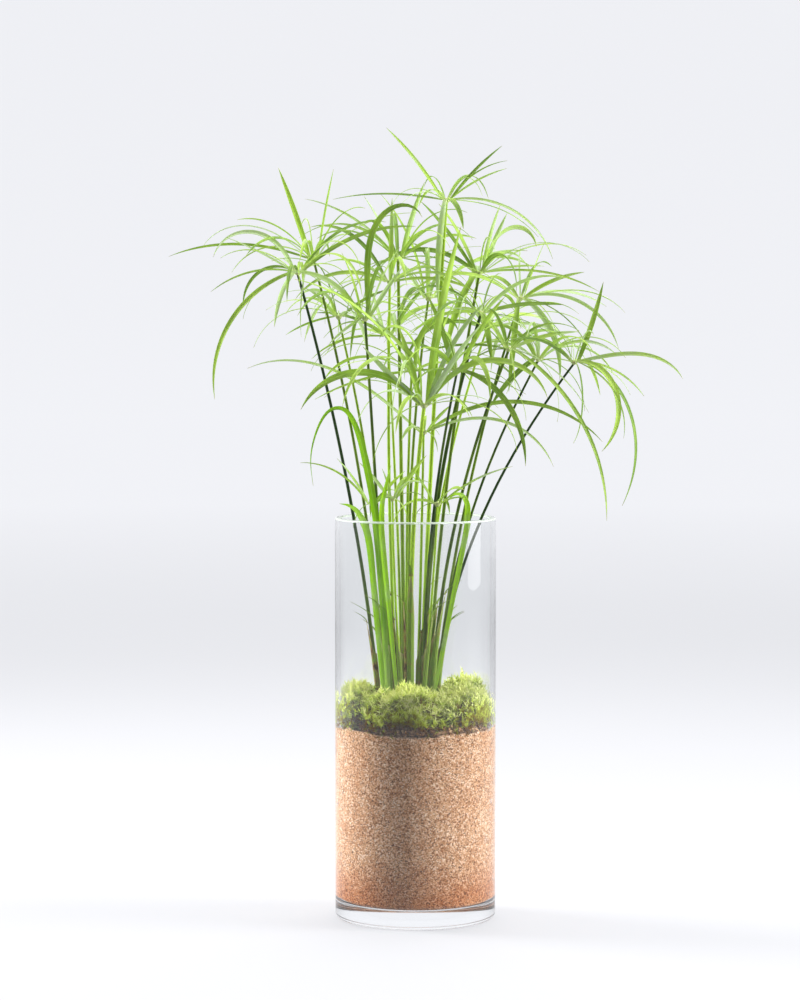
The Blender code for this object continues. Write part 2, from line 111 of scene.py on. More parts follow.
# Culms from left to right: foot x y, middle x y z, top x y z, thickness, bracts in all
CULMS = (
    ((-26, 2), (-46, -4, 300), (-87, -12, 482), 2.4, 11),
    ((-22, 10), (-37, 12, 300), (-76, 22, 492), 2.2, 8),
    ((-17, 16), (-30, 26, 300), (-58, 48, 449), 2.1, 8),
    ((-21, -6), (-28, -15, 300), (-37, -38, 448), 2.4, 9),
    ((-16, -12), (-24, -18, 230), (-32, -22, 311), 1.8, 5),
    ((-10, 20), (-14, 40, 300), (-21, 74, 434), 2.1, 8),
    ((-13, 4), (-19, 2, 300), (-19, -6, 475), 2.4, 8),
    ((-9, -13), (-14, -23, 230), (-17, -31, 316), 1.8, 6),
    ((-8, 12), (-10, 22, 300), (-13, 42, 493), 2.8, 8),
    ((-6, -3), (-6, -11, 300), (-3, -30, 409), 2.2, 7),
    ((-3, -11), (-1, -24, 300), (6, -48, 385), 3.4, 8),
    ((1, 3), (4, -1, 260), (6, -9, 364), 2.1, 6),
    ((-2, 20), (-4, 34, 300), (10, 60, 463), 2.2, 8),
    ((4, -14), (11, -24, 230), (16, -31, 312), 1.8, 5),
    ((4, 11), (10, 12, 300), (23, 14, 536), 3.0, 9),
    ((7, -6), (13, -18, 300), (30, -44, 410), 2.2, 7),
    ((9, 3), (15, -3, 300), (48, -16, 452), 2.8, 8),
    ((9, 13), (21, 19, 300), (48, 32, 482), 2.5, 10),
    ((5, 20), (18, 40, 300), (55, 82, 440), 2.1, 8),
    ((12, -9), (30, -17, 300), (68, -34, 426), 2.4, 8),
    ((14, 9), (36, 15, 300), (79, 34, 463), 2.2, 9),
    ((15, 1), (41, -1, 300), (91, -4, 418), 2.0, 8),
    ((16, -5), (49, -9, 300), (117, -14, 416), 2.1, 9),
)

# The bracts that give each umbel its character: azimuth, rise, length, droop, width, lateness of the droop
BRACTS = {
    1: (
        (188, -18, 120, 80, 3.8, 1.0),
        (165, 70, 84, 140, 3.8, 1.3),
        (202, 12, 68, 50, 1.8, 1.0),
        (175, 33, 56, 12, 1.8, 1.0),
        (152, 30, 62, 120, 2.6, 1.0),
        (235, -30, 50, 55, 3.2, 1.0),
        (12, 42, 95, 45, 3.2, 1.2),
        (38, 52, 92, 58, 2.2, 1.2),
    ),
    2: (
        (180, 74, 72, 6, 3.8, 1.0),
        (5, 82, 68, 4, 1.9, 1.0),
        (186, 20, 108, 42, 2.3, 1.2),
        (150, 52, 76, 60, 2.2, 1.2),
    ),
    3: (
        (205, 50, 34, 30, 3.0, 2.0),
        (190, 84, 42, 150, 3.0, 1.5),
        (10, 45, 42, 30, 2.4, 1.0),
        (178, -8, 40, 25, 1.8, 1.0),
    ),
    4: (
        (350, 92, 112, 165, 5.0, 3.5),
        (190, 62, 68, 70, 3.8, 1.3),
        (158, 46, 62, 20, 2.0, 1.0),
        (200, -30, 32, 15, 2.2, 1.0),
        (20, 60, 46, 10, 3.2, 1.0),
        (338, -30, 56, 30, 2.8, 1.0),
    ),
    5: (
        (172, 58, 62, 60, 1.8, 1.2),
        (200, 62, 42, 15, 2.6, 1.0),
        (30, 55, 34, 20, 2.4, 1.0),
    ),
    6: (
        (182, 4, 60, 50, 1.9, 1.3),
        (165, 40, 60, 45, 2.2, 1.0),
        (350, -35, 40, 25, 3.0, 1.0),
    ),
    7: (
        (85, 82, 66, 20, 3.4, 1.0),
        (355, 12, 66, 45, 2.4, 1.2),
        (215, 40, 60, 60, 2.6, 1.2),
    ),
    8: (
        (170, 56, 34, 12, 2.8, 1.0),
        (350, 58, 40, 10, 4.0, 1.0),
        (250, 70, 26, 20, 2.4, 1.0),
    ),
    9: (
        (8, 42, 62, 60, 2.6, 1.2),
        (95, 60, 78, 70, 3.2, 1.2),
    ),
    10: (
        (345, 86, 64, 170, 4.6, 2.4),
        (188, -4, 72, 25, 2.0, 1.0),
    ),
    11: (
        (190, 54, 106, 118, 5.4, 1.1),
        (208, 72, 150, 62, 5.0, 0.9),
        (20, 82, 80, 20, 5.0, 1.5),
        (352, 60, 112, 132, 4.6, 1.3),
        (300, 30, 66, 80, 3.6, 1.2),
    ),
    12: (
        (355, 36, 143, 84, 3.6, 1.15),
        (332, 22, 118, 88, 2.6, 1.5),
        (184, 42, 144, 66, 2.8, 2.0),
        (330, 50, 28, 10, 3.2, 1.0),
    ),
    13: (
        (178, 58, 122, 48, 2.2, 1.6),
        (160, 84, 88, 36, 2.0, 1.0),
    ),
    14: (
        (8, 42, 60, 30, 1.8, 1.0),
        (200, 60, 30, 10, 2.4, 1.0),
    ),
    15: (
        (180, 60, 68, 16, 2.7, 1.0),
        (5, 53, 56, 14, 2.7, 1.0),
        (340, 40, 50, 26, 1.7, 1.0),
        (356, 8, 96, 80, 2.2, 1.1),
        (290, 0, 42, 70, 3.8, 1.0),
        (184, 10, 82, 22, 2.1, 1.2),
        (258, -40, 84, 50, 5.2, 0.6),
    ),
    16: (
        (342, -8, 92, 84, 4.2, 0.8),
        (300, 44, 70, 140, 4.0, 1.1),
        (180, 4, 58, 20, 1.8, 1.0),
    ),
    17: (
        (8, 18, 60, 25, 3.2, 1.0),
        (285, -30, 46, 50, 4.4, 1.0),
        (196, 10, 56, 55, 2.4, 1.0),
    ),
    18: (
        (190, 56, 68, 12, 3.8, 2.0),
        (355, 71, 48, 6, 3.8, 1.0),
        (335, 72, 76, 150, 4.4, 2.0),
        (300, 50, 72, 150, 3.8, 1.2),
        (216, -50, 66, 30, 5.0, 1.0),
        (12, 16, 48, 20, 1.8, 1.0),
        (352, 8, 90, 38, 2.0, 1.2),
        (172, 46, 92, 88, 4.0, 1.2),
    ),
    19: (
        (40, 30, 84, 80, 3.4, 1.2),
        (110, 40, 78, 90, 3.4, 1.2),
    ),
    20: (
        (350, -32, 150, 58, 3.2, 1.0),
        (10, 26, 52, 25, 3.2, 1.0),
        (182, 12, 62, 30, 2.2, 1.0),
    ),
    21: (
        (18, 71, 46, 5, 2.3, 1.0),
        (345, 38, 50, 30, 3.2, 1.0),
        (2, 18, 90, 92, 2.8, 1.0),
        (322, -28, 74, 66, 4.5, 1.0),
        (250, -55, 74, 32, 4.4, 0.7),
        (28, 20, 76, 50, 2.0, 1.0),
    ),
    22: (
        (195, -34, 50, 25, 4.2, 1.0),
        (340, 40, 62, 80, 3.2, 1.2),
    ),
    23: (
        (10, 67, 62, -10, 3.8, 1.0),
        (355, 12, 84, 74, 3.2, 2.4),
        (8, 0, 128, 115, 3.8, 0.6),
        (335, 10, 88, 145, 4.5, 0.75),
        (300, -45, 68, 95, 3.2, 0.9),
        (20, 0, 62, 52, 1.8, 1.0),
    ),
}

# Young upright blades that stand close together in an umbel's middle, given as BRACTS are
UPRIGHT = {
    4: ((200, 80, 50, 15, 3.6, 1.0), (330, 72, 58, 20, 3.4, 1.2)),
    6: ((190, 78, 44, 10, 3.4, 1.0), (350, 66, 52, 25, 3.2, 1.0)),
    9: ((200, 70, 52, 15, 3.8, 1.0), (335, 76, 60, 10, 3.8, 1.2)),
    11: (
        (196, 78, 60, 8, 4.8, 1.0),
        (215, 88, 84, 165, 4.6, 3.0),
        (342, 84, 132, 10, 6.2, 1.0),
        (335, 60, 74, 12, 4.8, 1.0),
        (192, 42, 60, -6, 5.2, 1.0),
        (350, 72, 92, 30, 4.2, 1.4),
    ),
    16: ((200, 76, 58, 12, 4.2, 1.0), (340, 66, 64, 18, 4.4, 1.2)),
    18: ((205, 68, 60, 20, 4.2, 1.2), (340, 80, 52, 10, 4.0, 1.0)),
}

# Leaves that rise from the moss beside the culms: name, route points, greatest width
LEAVES = (
    (
        "leaf_tall",
        ((-19, -14, 151), (-24, -23, 235), (-29, -28, 298), (-35, -33, 335), (-42, -37, 364))
        + ((-51, -40, 381), (-63, -41, 381), (-72, -41, 367), (-77, -40, 346), (-75, -39, 325)),
        5.6,
    ),
    (
        "leaf_left",
        ((-22, -9, 151), (-29, -19, 230), (-34, -25, 285), (-41, -29, 303), (-48, -31, 310), (-56, -32, 312)),
        5.2,
    ),
    (
        "leaf_middle",
        ((-12, -15, 151), (-19, -28, 230), (-25, -38, 300), (-22, -42, 325), (-18, -44, 341)),
        4.4,
    ),
    (
        "leaf_right",
        ((10, -13, 151), (23, -25, 220), (35, -32, 285), (38, -34, 305), (37, -36, 314))
        + ((33, -38, 319), (28, -40, 319), (23, -41, 314)),
        4.6,
    ),
)

# How fresh each culm looks, left to right: 0 is old and dark, 1 is young and yellow-green
CULM_SHADES = (0.1, 0.3, 0.45, 0.25, 0.7, 0.5, 0.65, 0.75, 0.4, 0.55, 0.68, 0.6)
CULM_SHADES += (0.3, 0.75, 0.6, 0.2, 0.2, 0.3, 0.55, 0.25, 0.3, 0.2, 0.1)

# Sheaths round the culms' feet: culm, height, way the tip points, spur length, brownness
SHEATHS = (
    (1, 72, 185, 9, 0.7),
    (2, 60, 150, 14, 0.4),
    (3, 78, 120, 10, 0.2),
    (4, 68, 172, 22, 0.1),
    (5, 84, 200, 12, 0.15),
    (6, 66, 80, 12, 0.4),
    (7, 92, 215, 10, 0.9),
    (8, 76, 190, 14, 0.2),
    (9, 70, 60, 8, 0.5),
    (10, 86, 190, 12, 0.8),
    (11, 108, 260, 14, 0.3),
    (12, 64, 330, 9, 0.4),
    (13, 72, 95, 11, 0.3),
    (14, 80, 340, 13, 0.2),
    (15, 96, 15, 10, 0.25),
    (16, 70, 350, 9, 0.6),
    (17, 78, 300, 12, 0.35),
    (18, 84, 25, 12, 0.5),
    (19, 62, 70, 8, 0.4),
    (20, 94, 345, 12, 0.3),
    (21, 74, 40, 10, 0.6),
    (22, 68, 5, 13, 0.3),
    (23, 72, 330, 11, 0.45),
)


# Colours and small tools


def linear(code):
    """A colour from its sRGB hex code, with the light of each channel as a plain share."""
    shares = [int(code[i : i + 2], 16) / 255 for i in (0, 2, 4)]
    return (*(s / 12.92 if s <= 0.04045 else ((s + 0.055) / 1.055) ** 2.4 for s in shares), 1.0)


def add(tree, kind, inputs=None, stops=None, **settings):
    """Adds a node with its settings and links.

    An input is given a value, the socket that feeds it, or a node, whose first open output then feeds it.
    A colour mixer's sockets share their names with the plain number ones, so they go by place:
    0 is the factor, 6 and 7 are the colours.
    """
    new = tree.nodes.new("ShaderNode" + kind)
    for name, value in settings.items():
        setattr(new, name, value)
    for key, value in (inputs or {}).items():
        if isinstance(value, bpy.types.Node):
            value = next(socket for socket in value.outputs if socket.enabled)
        if isinstance(value, bpy.types.NodeSocket):
            tree.links.new(value, new.inputs[key])
        else:
            new.inputs[key].default_value = value
    if stops:
        ramp = new.color_ramp
        while len(ramp.elements) < len(stops):
            ramp.elements.new(0.5)
        for element, (place, color) in zip(ramp.elements, stops):
            element.position = place
            element.color = color
    return new


def blank(name):
    """A new material, its emptied node tree, and the object's own coordinates to lay patterns on."""
    look = bpy.data.materials.new(name)
    look.use_nodes = True
    look.node_tree.nodes.clear()
    return look, look.node_tree, add(look.node_tree, "TexCoord").outputs["Object"]


def deselect():
    if bpy.context.object and bpy.context.object.mode != "OBJECT":
        bpy.ops.object.mode_set(mode="OBJECT")
    bpy.ops.object.select_all(action="DESELECT")


def activate(piece):
    deselect()
    piece.select_set(True)
    bpy.context.view_layer.objects.active = piece


def pick(kind, passes):
    """In edit mode, selects only the edges or faces whose middle and normal pass the test."""
    bpy.ops.mesh.select_mode(type=kind)
    bpy.ops.mesh.select_all(action="DESELECT")
    shape = bmesh.from_edit_mesh(bpy.context.object.data)
    for item in shape.faces if kind == "FACE" else shape.edges:
        middle = sum((vert.co for vert in item.verts), Vector()) / len(item.verts) / MM
        normal = item.normal if kind == "FACE" else item.link_faces[0].normal
        item.select_set(passes(middle, normal))
    bmesh.update_edit_mesh(bpy.context.object.data)


def new_piece(name, verts, faces, look):
    """A mesh object from points in millimetres."""
    mesh = bpy.data.meshes.new(name)
    mesh.from_pydata(np.asarray(verts) * MM, [], faces)
    mesh.materials.append(look)
    piece = bpy.data.objects.new(name, mesh)
    bpy.context.scene.collection.objects.link(piece)
    return piece


def places_of(mesh):
    spots = np.empty(len(mesh.vertices) * 3)
    mesh.vertices.foreach_get("co", spots)
    return spots.reshape(-1, 3)


def move_to(mesh, spots):
    mesh.vertices.foreach_set("co", np.asarray(spots).ravel())
    mesh.update()


def mark(mesh, name, values):
    """Stores one number a vertex, for a material to read."""
    values = np.broadcast_to(values, len(mesh.vertices))
    attribute = mesh.attributes.get(name) or mesh.attributes.new(name, "FLOAT", "POINT")
    attribute.data.foreach_set("value", np.ascontiguousarray(values, dtype=np.float32))


def join(pieces, name):
    """Joins pieces into the first of them."""
    deselect()
    for piece in pieces:
        piece.select_set(True)
    bpy.context.view_layer.objects.active = pieces[0]
    bpy.ops.object.join()
    pieces[0].name = name
    pieces[0].data.name = name
    return pieces[0]


def apply_modifier(piece, kind, **settings):
    activate(piece)
    modifier = piece.modifiers.new(kind.title(), kind)
    for name, value in settings.items():
        setattr(modifier, name, value)
    bpy.ops.object.modifier_apply(modifier=modifier.name)


def hand_over(piece, node):
    """The finished piece rides on the plant's one body and stands for its CAD node."""
    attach(piece, "root")
    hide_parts(node)


def turned(name, profile, sides, look):
    """A body turned on a lathe: a profile of (radius, height) spun once round the middle."""
    edges = [(i, i + 1) for i in range(len(profile) - 1)]
    mesh = bpy.data.meshes.new(name)
    mesh.from_pydata([(r * MM, 0, z * MM) for r, z in profile], edges, [])
    mesh.materials.append(look)
    piece = bpy.data.objects.new(name, mesh)
    bpy.context.scene.collection.objects.link(piece)
    activate(piece)
    bpy.ops.object.mode_set(mode="EDIT")
    bpy.ops.mesh.select_all(action="SELECT")
    bpy.ops.mesh.spin(steps=sides, angle=math.tau, center=(0, 0, 0), axis=(0, 0, 1))
    bpy.ops.mesh.select_all(action="SELECT")
    bpy.ops.mesh.remove_doubles(threshold=0.00002)
    bpy.ops.mesh.normals_make_consistent(inside=False)
    bpy.ops.object.mode_set(mode="OBJECT")
    return piece


def heading(turn):
    """The level unit vector at an azimuth in radians."""
    return np.array([math.cos(turn), math.sin(turn), 0.0])


def ripple(spot, size, seed=0.0):
    """Smooth chance from -1 to 1 at a place in millimetres, that changes over a length of size."""
    return noise.noise(Vector(spot) / size + Vector((seed, seed * 0.7, seed * 1.3)))


def scatter(name, verts, faces, spots, turns, sizes, look, **marks):
    """One mesh of many copies of a small shape, each turned, sized and moved; marks are numbers a copy."""
    verts, faces = np.asarray(verts), np.asarray(faces)
    count, each = len(spots), len(verts)
    corners = np.einsum("nij,vj->nvi", turns, verts) * sizes[:, None, None] + spots[:, None, :]
    sheets = (faces[None] + (np.arange(count) * each)[:, None, None]).reshape(-1, faces.shape[1])
    piece = new_piece(name, corners.reshape(-1, 3), sheets.tolist(), look)
    for key, values in marks.items():
        mark(piece.data, key, np.repeat(values, each))
    return piece


# Where the culms and bracts run


def culm_line(foot, middle, top, spans):
    """Points up a culm: one smooth curve through its foot, its middle and its top."""
    low, high = FOOT, top[2] - HUB_HALF - HUB_GAP
    knots = (low, middle[2], high)
    places = (Vector(foot), Vector(middle[:2]), Vector(top[:2]))
    points = []
    for i in range(spans + 1):
        z = low + (high - low) * i / spans
        spot = Vector((0.0, 0.0))
        for a in range(3):
            b, c = (k for k in range(3) if k != a)
            spot += places[a] * ((z - knots[b]) * (z - knots[c]) / ((knots[a] - knots[b]) * (knots[a] - knots[c])))
        points.append(Vector((spot.x, spot.y, z)))
    return points


def bract_line(hub, azimuth, rise, length, droop, late):
    """Points along a bract, which leaves the hub at its rise and bends over by its droop."""
    way = Vector(heading(math.radians(azimuth)))
    point = hub + way * HUB_RADIUS
    points = [point]
    for i in range(BRACT_STEPS):
        share = (i + 0.5) / BRACT_STEPS
        tilt = math.radians(rise - droop * share**late)
        point = point + (way * math.cos(tilt) + Vector((0.0, 0.0, math.sin(tilt)))) * (length / BRACT_STEPS)
        points.append(point)
    return points


def bract_width(share):
    """A bract's width as a share of its greatest: narrow at the hub, full at two fifths, pointed at the tip."""
    if share < 0.4:
        return 0.5 + 0.5 * math.sin(math.radians(90) * share / 0.4)
    return max(0.0, 1.0 - ((share - 0.4) / 0.6) ** 1.8)


class Crowd:
    """The space that stems, leaves and bracts already take, as small balls sorted into cells."""

    def __init__(self):
        self.cells = {}

    def cell(self, point):
        return tuple(int(math.floor(value / CELL)) for value in point)

    def add(self, owner, balls):
        for point, radius in balls:
            self.cells.setdefault(self.cell(point), []).append((owner, point, radius))

    def touches(self, owner, hub, balls):
        """True where a ball comes too near another's, apart from its own umbel close to the hub."""
        near_hub = 9.0
        for point, radius in balls:
            at_hub = (point - hub).length < near_hub
            x, y, z = self.cell(point)
            for key in [(x + i, y + j, z + k) for i in (-1, 0, 1) for j in (-1, 0, 1) for k in (-1, 0, 1)]:
                for other, spot, size in self.cells.get(key, ()):
                    if other == owner and (at_hub or (spot - hub).length < near_hub):
                        continue
                    if (point - spot).length < radius + size + CLEARANCE:
                        return True
        return False


def balls_along(points, radii, spacing=1.5):
    """Balls strung along a line of points."""
    balls = []
    for i in range(len(points) - 1):
        count = max(1, round((points[i + 1] - points[i]).length / spacing))
        for k in range(count):
            share = k / count
            balls.append((points[i].lerp(points[i + 1], share), radii[i] + (radii[i + 1] - radii[i]) * share))
    balls.append((points[-1], radii[-1]))
    return balls


def bract_balls(points, width):
    stations = (0, *BRACT_STATIONS, BRACT_STEPS)
    radii = [width / 2 * bract_width(i / BRACT_STEPS) for i in stations]
    return balls_along([points[i] for i in stations], radii)


def more_bracts(number, have, wanted, lean):
    """Bracts that fill an umbel up to its count, in the widest gaps between those it has."""
    chance = random.Random(100 + number)
    bracts = list(have)
    while len(bracts) < wanted:
        turns = sorted(bract[0] % 360 for bract in bracts) or [0.0]
        gaps = [((turns[(i + 1) % len(turns)] - turn) % 360 or 360.0, turn) for i, turn in enumerate(turns)]
        gap, turn = max(gaps)
        azimuth = turn + gap * chance.uniform(0.4, 0.6)
        slope = lean * math.cos(math.radians(azimuth))
        rise = chance.uniform(14, 58) - 0.5 * slope
        size = chance.uniform(0.75, 1.1) * (90 if wanted > 6 else 45)
        droop, width, late = chance.uniform(55, 110), chance.uniform(2.4, 3.8), chance.uniform(1.0, 1.5)
        bracts.append((azimuth, rise, size, droop, width, late))
    return bracts


def settle_bract(crowd, number, hub, bract):
    """The bract swung aside until it clears its neighbours, or None where there is no room for it."""
    azimuth, rise, length, droop, width, late = bract
    for lift in (0, 6, -6, 12):
        for swing in (0, 4, -4, 8, -8, 12, -12, 17, -17):
            points = bract_line(hub, azimuth + swing, rise + lift, length, droop, late)
            balls = bract_balls(points, width)
            if not crowd.touches(number, hub, balls):
                crowd.add(number, balls)
                return azimuth + swing, points, width
    return None


def settle_all():
    """Every umbel's bracts, as (azimuth, points, width), none of which meet."""
    crowd = Crowd()
    for number, (foot, middle, top, thickness, _) in enumerate(CULMS, 1):
        line = culm_line(foot, middle, top, STEM_SPANS)
        crowd.add(number, balls_along(line, [thickness / 2 * (1 + STEM_TAPER)] * len(line)))
        crowd.add(number, [(Vector(top), HUB_RADIUS)])
    for name, route, width in LEAVES:
        points = [Vector(point) for point in route]
        crowd.add(name, balls_along(points, [width / 2 * leaf_width(i / (len(route) - 1)) for i in range(len(route))]))
    umbels = {number: [] for number in range(1, len(CULMS) + 1)}
    for given in (True, False):
        for number, (foot, middle, top, _, wanted) in enumerate(CULMS, 1):
            have = BRACTS.get(number, ())
            lean = math.degrees(math.atan2(top[0] - middle[0], top[2] - middle[2]))
            bracts = have if given else more_bracts(number, have, wanted, lean)[len(have):]
            for bract in bracts:
                settled = settle_bract(crowd, number, Vector(top), bract)
                if settled:
                    umbels[number].append(settled)
    return umbels


def blade_width(share):
    """A blade's own outline: three fifths at its root, full from a third, and drawn late to its point."""
    if share < 0.35:
        return 0.6 + 0.4 * math.sin(math.radians(90) * share / 0.35)
    return max(0.0, 1.0 - ((share - 0.35) / 0.65) ** 2.8)


def leaf_outline(share):
    """A young leaf's own outline: widest at a third, thin well before it arches over."""
    if share < 0.35:
        return 0.7 + 0.3 * share / 0.35
    return max(0.0, 1.0 - ((share - 0.35) / 0.65) ** 0.8)


def leaf_width(share):
    """A basal leaf's width as a share of its greatest: half at the moss, full at two fifths, pointed at the tip."""
    if share < 0.4:
        return 0.55 + 0.45 * share / 0.4
    return max(0.0, 1.0 - ((share - 0.4) / 0.6) ** 1.6)


# Finishes

BLADE_VEINS = 7
SHEATH_RIBS = 11


def blown_glass(tint):
    """Blown, fire-polished soda-lime glass: water-clear, with a slow waviness that bends what is behind it."""
    look, tree, at = blank("blown_soda_lime_glass")
    wave = add(tree, "TexNoise", {"Vector": at, "Scale": 1 / 0.035, "Detail": 1.0})
    smear = add(tree, "TexNoise", {"Vector": at, "Scale": 1 / 0.012, "Detail": 3.0})
    rough = add(tree, "MapRange", {"Value": smear, "To Max": 0.008})
    bump = add(tree, "Bump", {"Height": wave, "Strength": 0.2, "Distance": 0.0005})
    glass = add(
        tree,
        "BsdfPrincipled",
        {"Base Color": tint, "Roughness": rough, "Normal": bump, "IOR": GLASS_IOR, "Transmission Weight": 1.0},
    )
    # Light on its way to what stands in the vase passes the clear wall unbent
    clear = add(tree, "BsdfTransparent", {"Color": tint})
    path = add(tree, "LightPath")
    mix = add(tree, "MixShader", {0: path.outputs["Is Shadow Ray"], 1: glass, 2: clear})
    add(tree, "OutputMaterial", {"Surface": mix})
    return look


def painted_rim_glow(tint):
    """Rim of the glass with painted light: a half see-through, pale green-white diffuse colour stands in for the light
    that runs up inside the wall and leaves at the fire-polished rim.
    """
    look, tree, at = blank("fire_polished_rim")
    wave = add(tree, "TexNoise", {"Vector": at, "Scale": 1 / 0.02, "Detail": 2.0})
    shade = add(tree, "MapRange", {"Value": wave, "To Min": 0.85})
    tone = add(tree, "Mix", {0: 1.0, 6: tint, 7: shade}, data_type="RGBA", blend_type="MULTIPLY")
    rough = add(tree, "MapRange", {"Value": wave, "To Min": 0.05, "To Max": 0.12})
    rim = add(
        tree,
        "BsdfPrincipled",
        {"Base Color": tone, "Roughness": rough, "IOR": GLASS_IOR, "Transmission Weight": 0.5},
    )
    add(tree, "OutputMaterial", {"Surface": rim})
    return look


def washed_sand(grain, pale, mid, dark, damp):
    """Washed quartz sand: grains of cream, tan and smoky quartz with a few dark specks, browner in damp patches and
    towards the bottom of the bed.

    Real grains are about 0.4 mm wide; they are drawn as coarse as they need to show.
    """
    look, tree, at = blank("washed_quartz_sand")
    cell = add(tree, "TexVoronoi", {"Vector": at, "Scale": 1 / grain})
    one = add(tree, "SeparateColor", {"Color": cell.outputs["Color"]})
    grains = add(
        tree,
        "ValToRGB",
        {"Fac": one.outputs["Red"]},
        stops=(
            (0.0, linear("4a3a30")),
            (0.035, linear("7a5f4a")),
            (0.1, dark),
            (0.35, mid),
            (0.8, pale),
            (0.97, linear("f8e8d6")),
        ),
    )
    patch = add(tree, "TexNoise", {"Vector": at, "Scale": 1 / 0.011, "Detail": 4.0, "Roughness": 0.6})
    patchy = add(tree, "MapRange", {"Value": patch, "From Min": 0.35, "From Max": 0.68, "To Max": 0.6})
    shaded = add(tree, "Mix", {0: patchy, 6: grains, 7: damp}, data_type="RGBA", blend_type="MULTIPLY")
    # Browner and darker towards the bottom of the bed, below a wavy level
    height = add(tree, "SeparateXYZ", {"Vector": at})
    band_wobble = add(tree, "TexNoise", {"Vector": at, "Scale": 1 / 0.03, "Detail": 2.0})
    level = add(tree, "Math", {0: band_wobble, 1: 0.03}, operation="MULTIPLY")
    sunk = add(tree, "Math", {0: height.outputs["Z"], 1: level}, operation="SUBTRACT")
    low = add(tree, "MapRange", {"Value": sunk, "From Min": 0.004, "From Max": 0.032, "To Min": 0.75, "To Max": 0.0})
    browner_low = add(tree, "Mix", {0: low, 6: shaded, 7: linear("dca878")}, data_type="RGBA", blend_type="MULTIPLY")
    hills = add(tree, "Math", {0: cell, 1: 2.0}, operation="POWER")
    bump = add(tree, "Bump", {"Height": hills, "Strength": 0.6, "Distance": grain * 0.4}, invert=True)
    rough = add(tree, "MapRange", {"Value": one.outputs["Green"], "To Min": 0.45, "To Max": 0.95})
    sand = add(
        tree,
        "BsdfPrincipled",
        {"Base Color": browner_low, "Roughness": rough, "Specular IOR Level": 0.2, "Normal": bump},
    )
    add(tree, "OutputMaterial", {"Surface": sand})
    return look


def potting_soil():
    """Peat and root soil: crumbs 2 mm wide, from dark to straw brown, dull all over."""
    look, tree, at = blank("peat_soil")
    crumb = add(tree, "TexVoronoi", {"Vector": at, "Scale": 1 / 0.0018})
    one = add(tree, "SeparateColor", {"Color": crumb.outputs["Color"]})
    color = add(
        tree,
        "ValToRGB",
        {"Fac": one.outputs["Red"]},
        stops=((0.0, linear("47301f")), (0.45, linear("7c5738")), (0.75, linear("a67d54")), (1.0, linear("dcb98a"))),
    )
    fine = add(tree, "TexNoise", {"Vector": at, "Scale": 1 / 0.0009, "Detail": 4.0})
    bump = add(tree, "Bump", {"Height": fine, "Strength": 0.8, "Distance": 0.0006})
    rough = add(tree, "MapRange", {"Value": fine, "To Min": 0.8})
    soil = add(
        tree,
        "BsdfPrincipled",
        {"Base Color": color, "Roughness": rough, "Specular IOR Level": 0.2, "Normal": bump},
    )
    add(tree, "OutputMaterial", {"Surface": soil})
    return look


def fine_roots():
    """Feeding roots: pale straw to brown threads."""
    look, tree, at = blank("fine_roots")
    blot = add(tree, "TexNoise", {"Vector": at, "Scale": 1 / 0.004, "Detail": 3.0})
    color = add(
        tree,
        "ValToRGB",
        {"Fac": blot},
        stops=((0.3, linear("4d341d")), (0.55, linear("8a6338")), (0.75, linear("c09a63"))),
    )
    bump = add(tree, "Bump", {"Height": blot, "Strength": 0.4, "Distance": 0.0002})
    root = add(tree, "BsdfPrincipled", {"Base Color": color, "Roughness": 0.8, "Normal": bump})
    add(tree, "OutputMaterial", {"Surface": root})
    return look


def sheet_moss(shadow, old, fresh, tip):
    """Living sheet moss: brown-olive down among the stems, olive higher up, and bright yellow-green curled tips. The
    dark depths are partly the moss's own brown and partly painted shade; the bright tips and high shoots are partly
    fresh growth and partly painted light.
    """
    look, tree, at = blank("sheet_moss")
    reach = add(tree, "Attribute", attribute_name="reach")
    tint = add(tree, "Attribute", attribute_name="tint")
    patch = add(tree, "TexNoise", {"Vector": at, "Scale": 1 / 0.014, "Detail": 2.0})
    spread = add(tree, "MapRange", {"Value": patch, "From Min": 0.3, "From Max": 0.7, "To Min": -0.22, "To Max": 0.2})
    lift = add(tree, "Math", {0: reach.outputs["Fac"], 1: spread}, operation="ADD")
    swing = add(tree, "MapRange", {"Value": tint.outputs["Fac"], "To Min": -0.3, "To Max": 0.34})
    place = add(tree, "Math", {0: lift, 1: swing}, operation="ADD")
    color = add(tree, "ValToRGB", {"Fac": place}, stops=((0.05, shadow), (0.34, old), (0.62, fresh), (0.98, tip)))
    fine = add(tree, "TexNoise", {"Vector": at, "Scale": 1 / 0.0006, "Detail": 2.0})
    bump = add(tree, "Bump", {"Height": fine, "Strength": 0.5, "Distance": 0.0002})
    leaf = add(
        tree,
        "BsdfPrincipled",
        {"Base Color": color, "Roughness": 0.62, "Specular IOR Level": 0.25, "Normal": bump},
    )
    through = add(tree, "BsdfTranslucent", {"Color": color})
    mix = add(tree, "MixShader", {0: 0.24, 1: leaf, 2: through})
    add(tree, "OutputMaterial", {"Surface": mix})
    return look


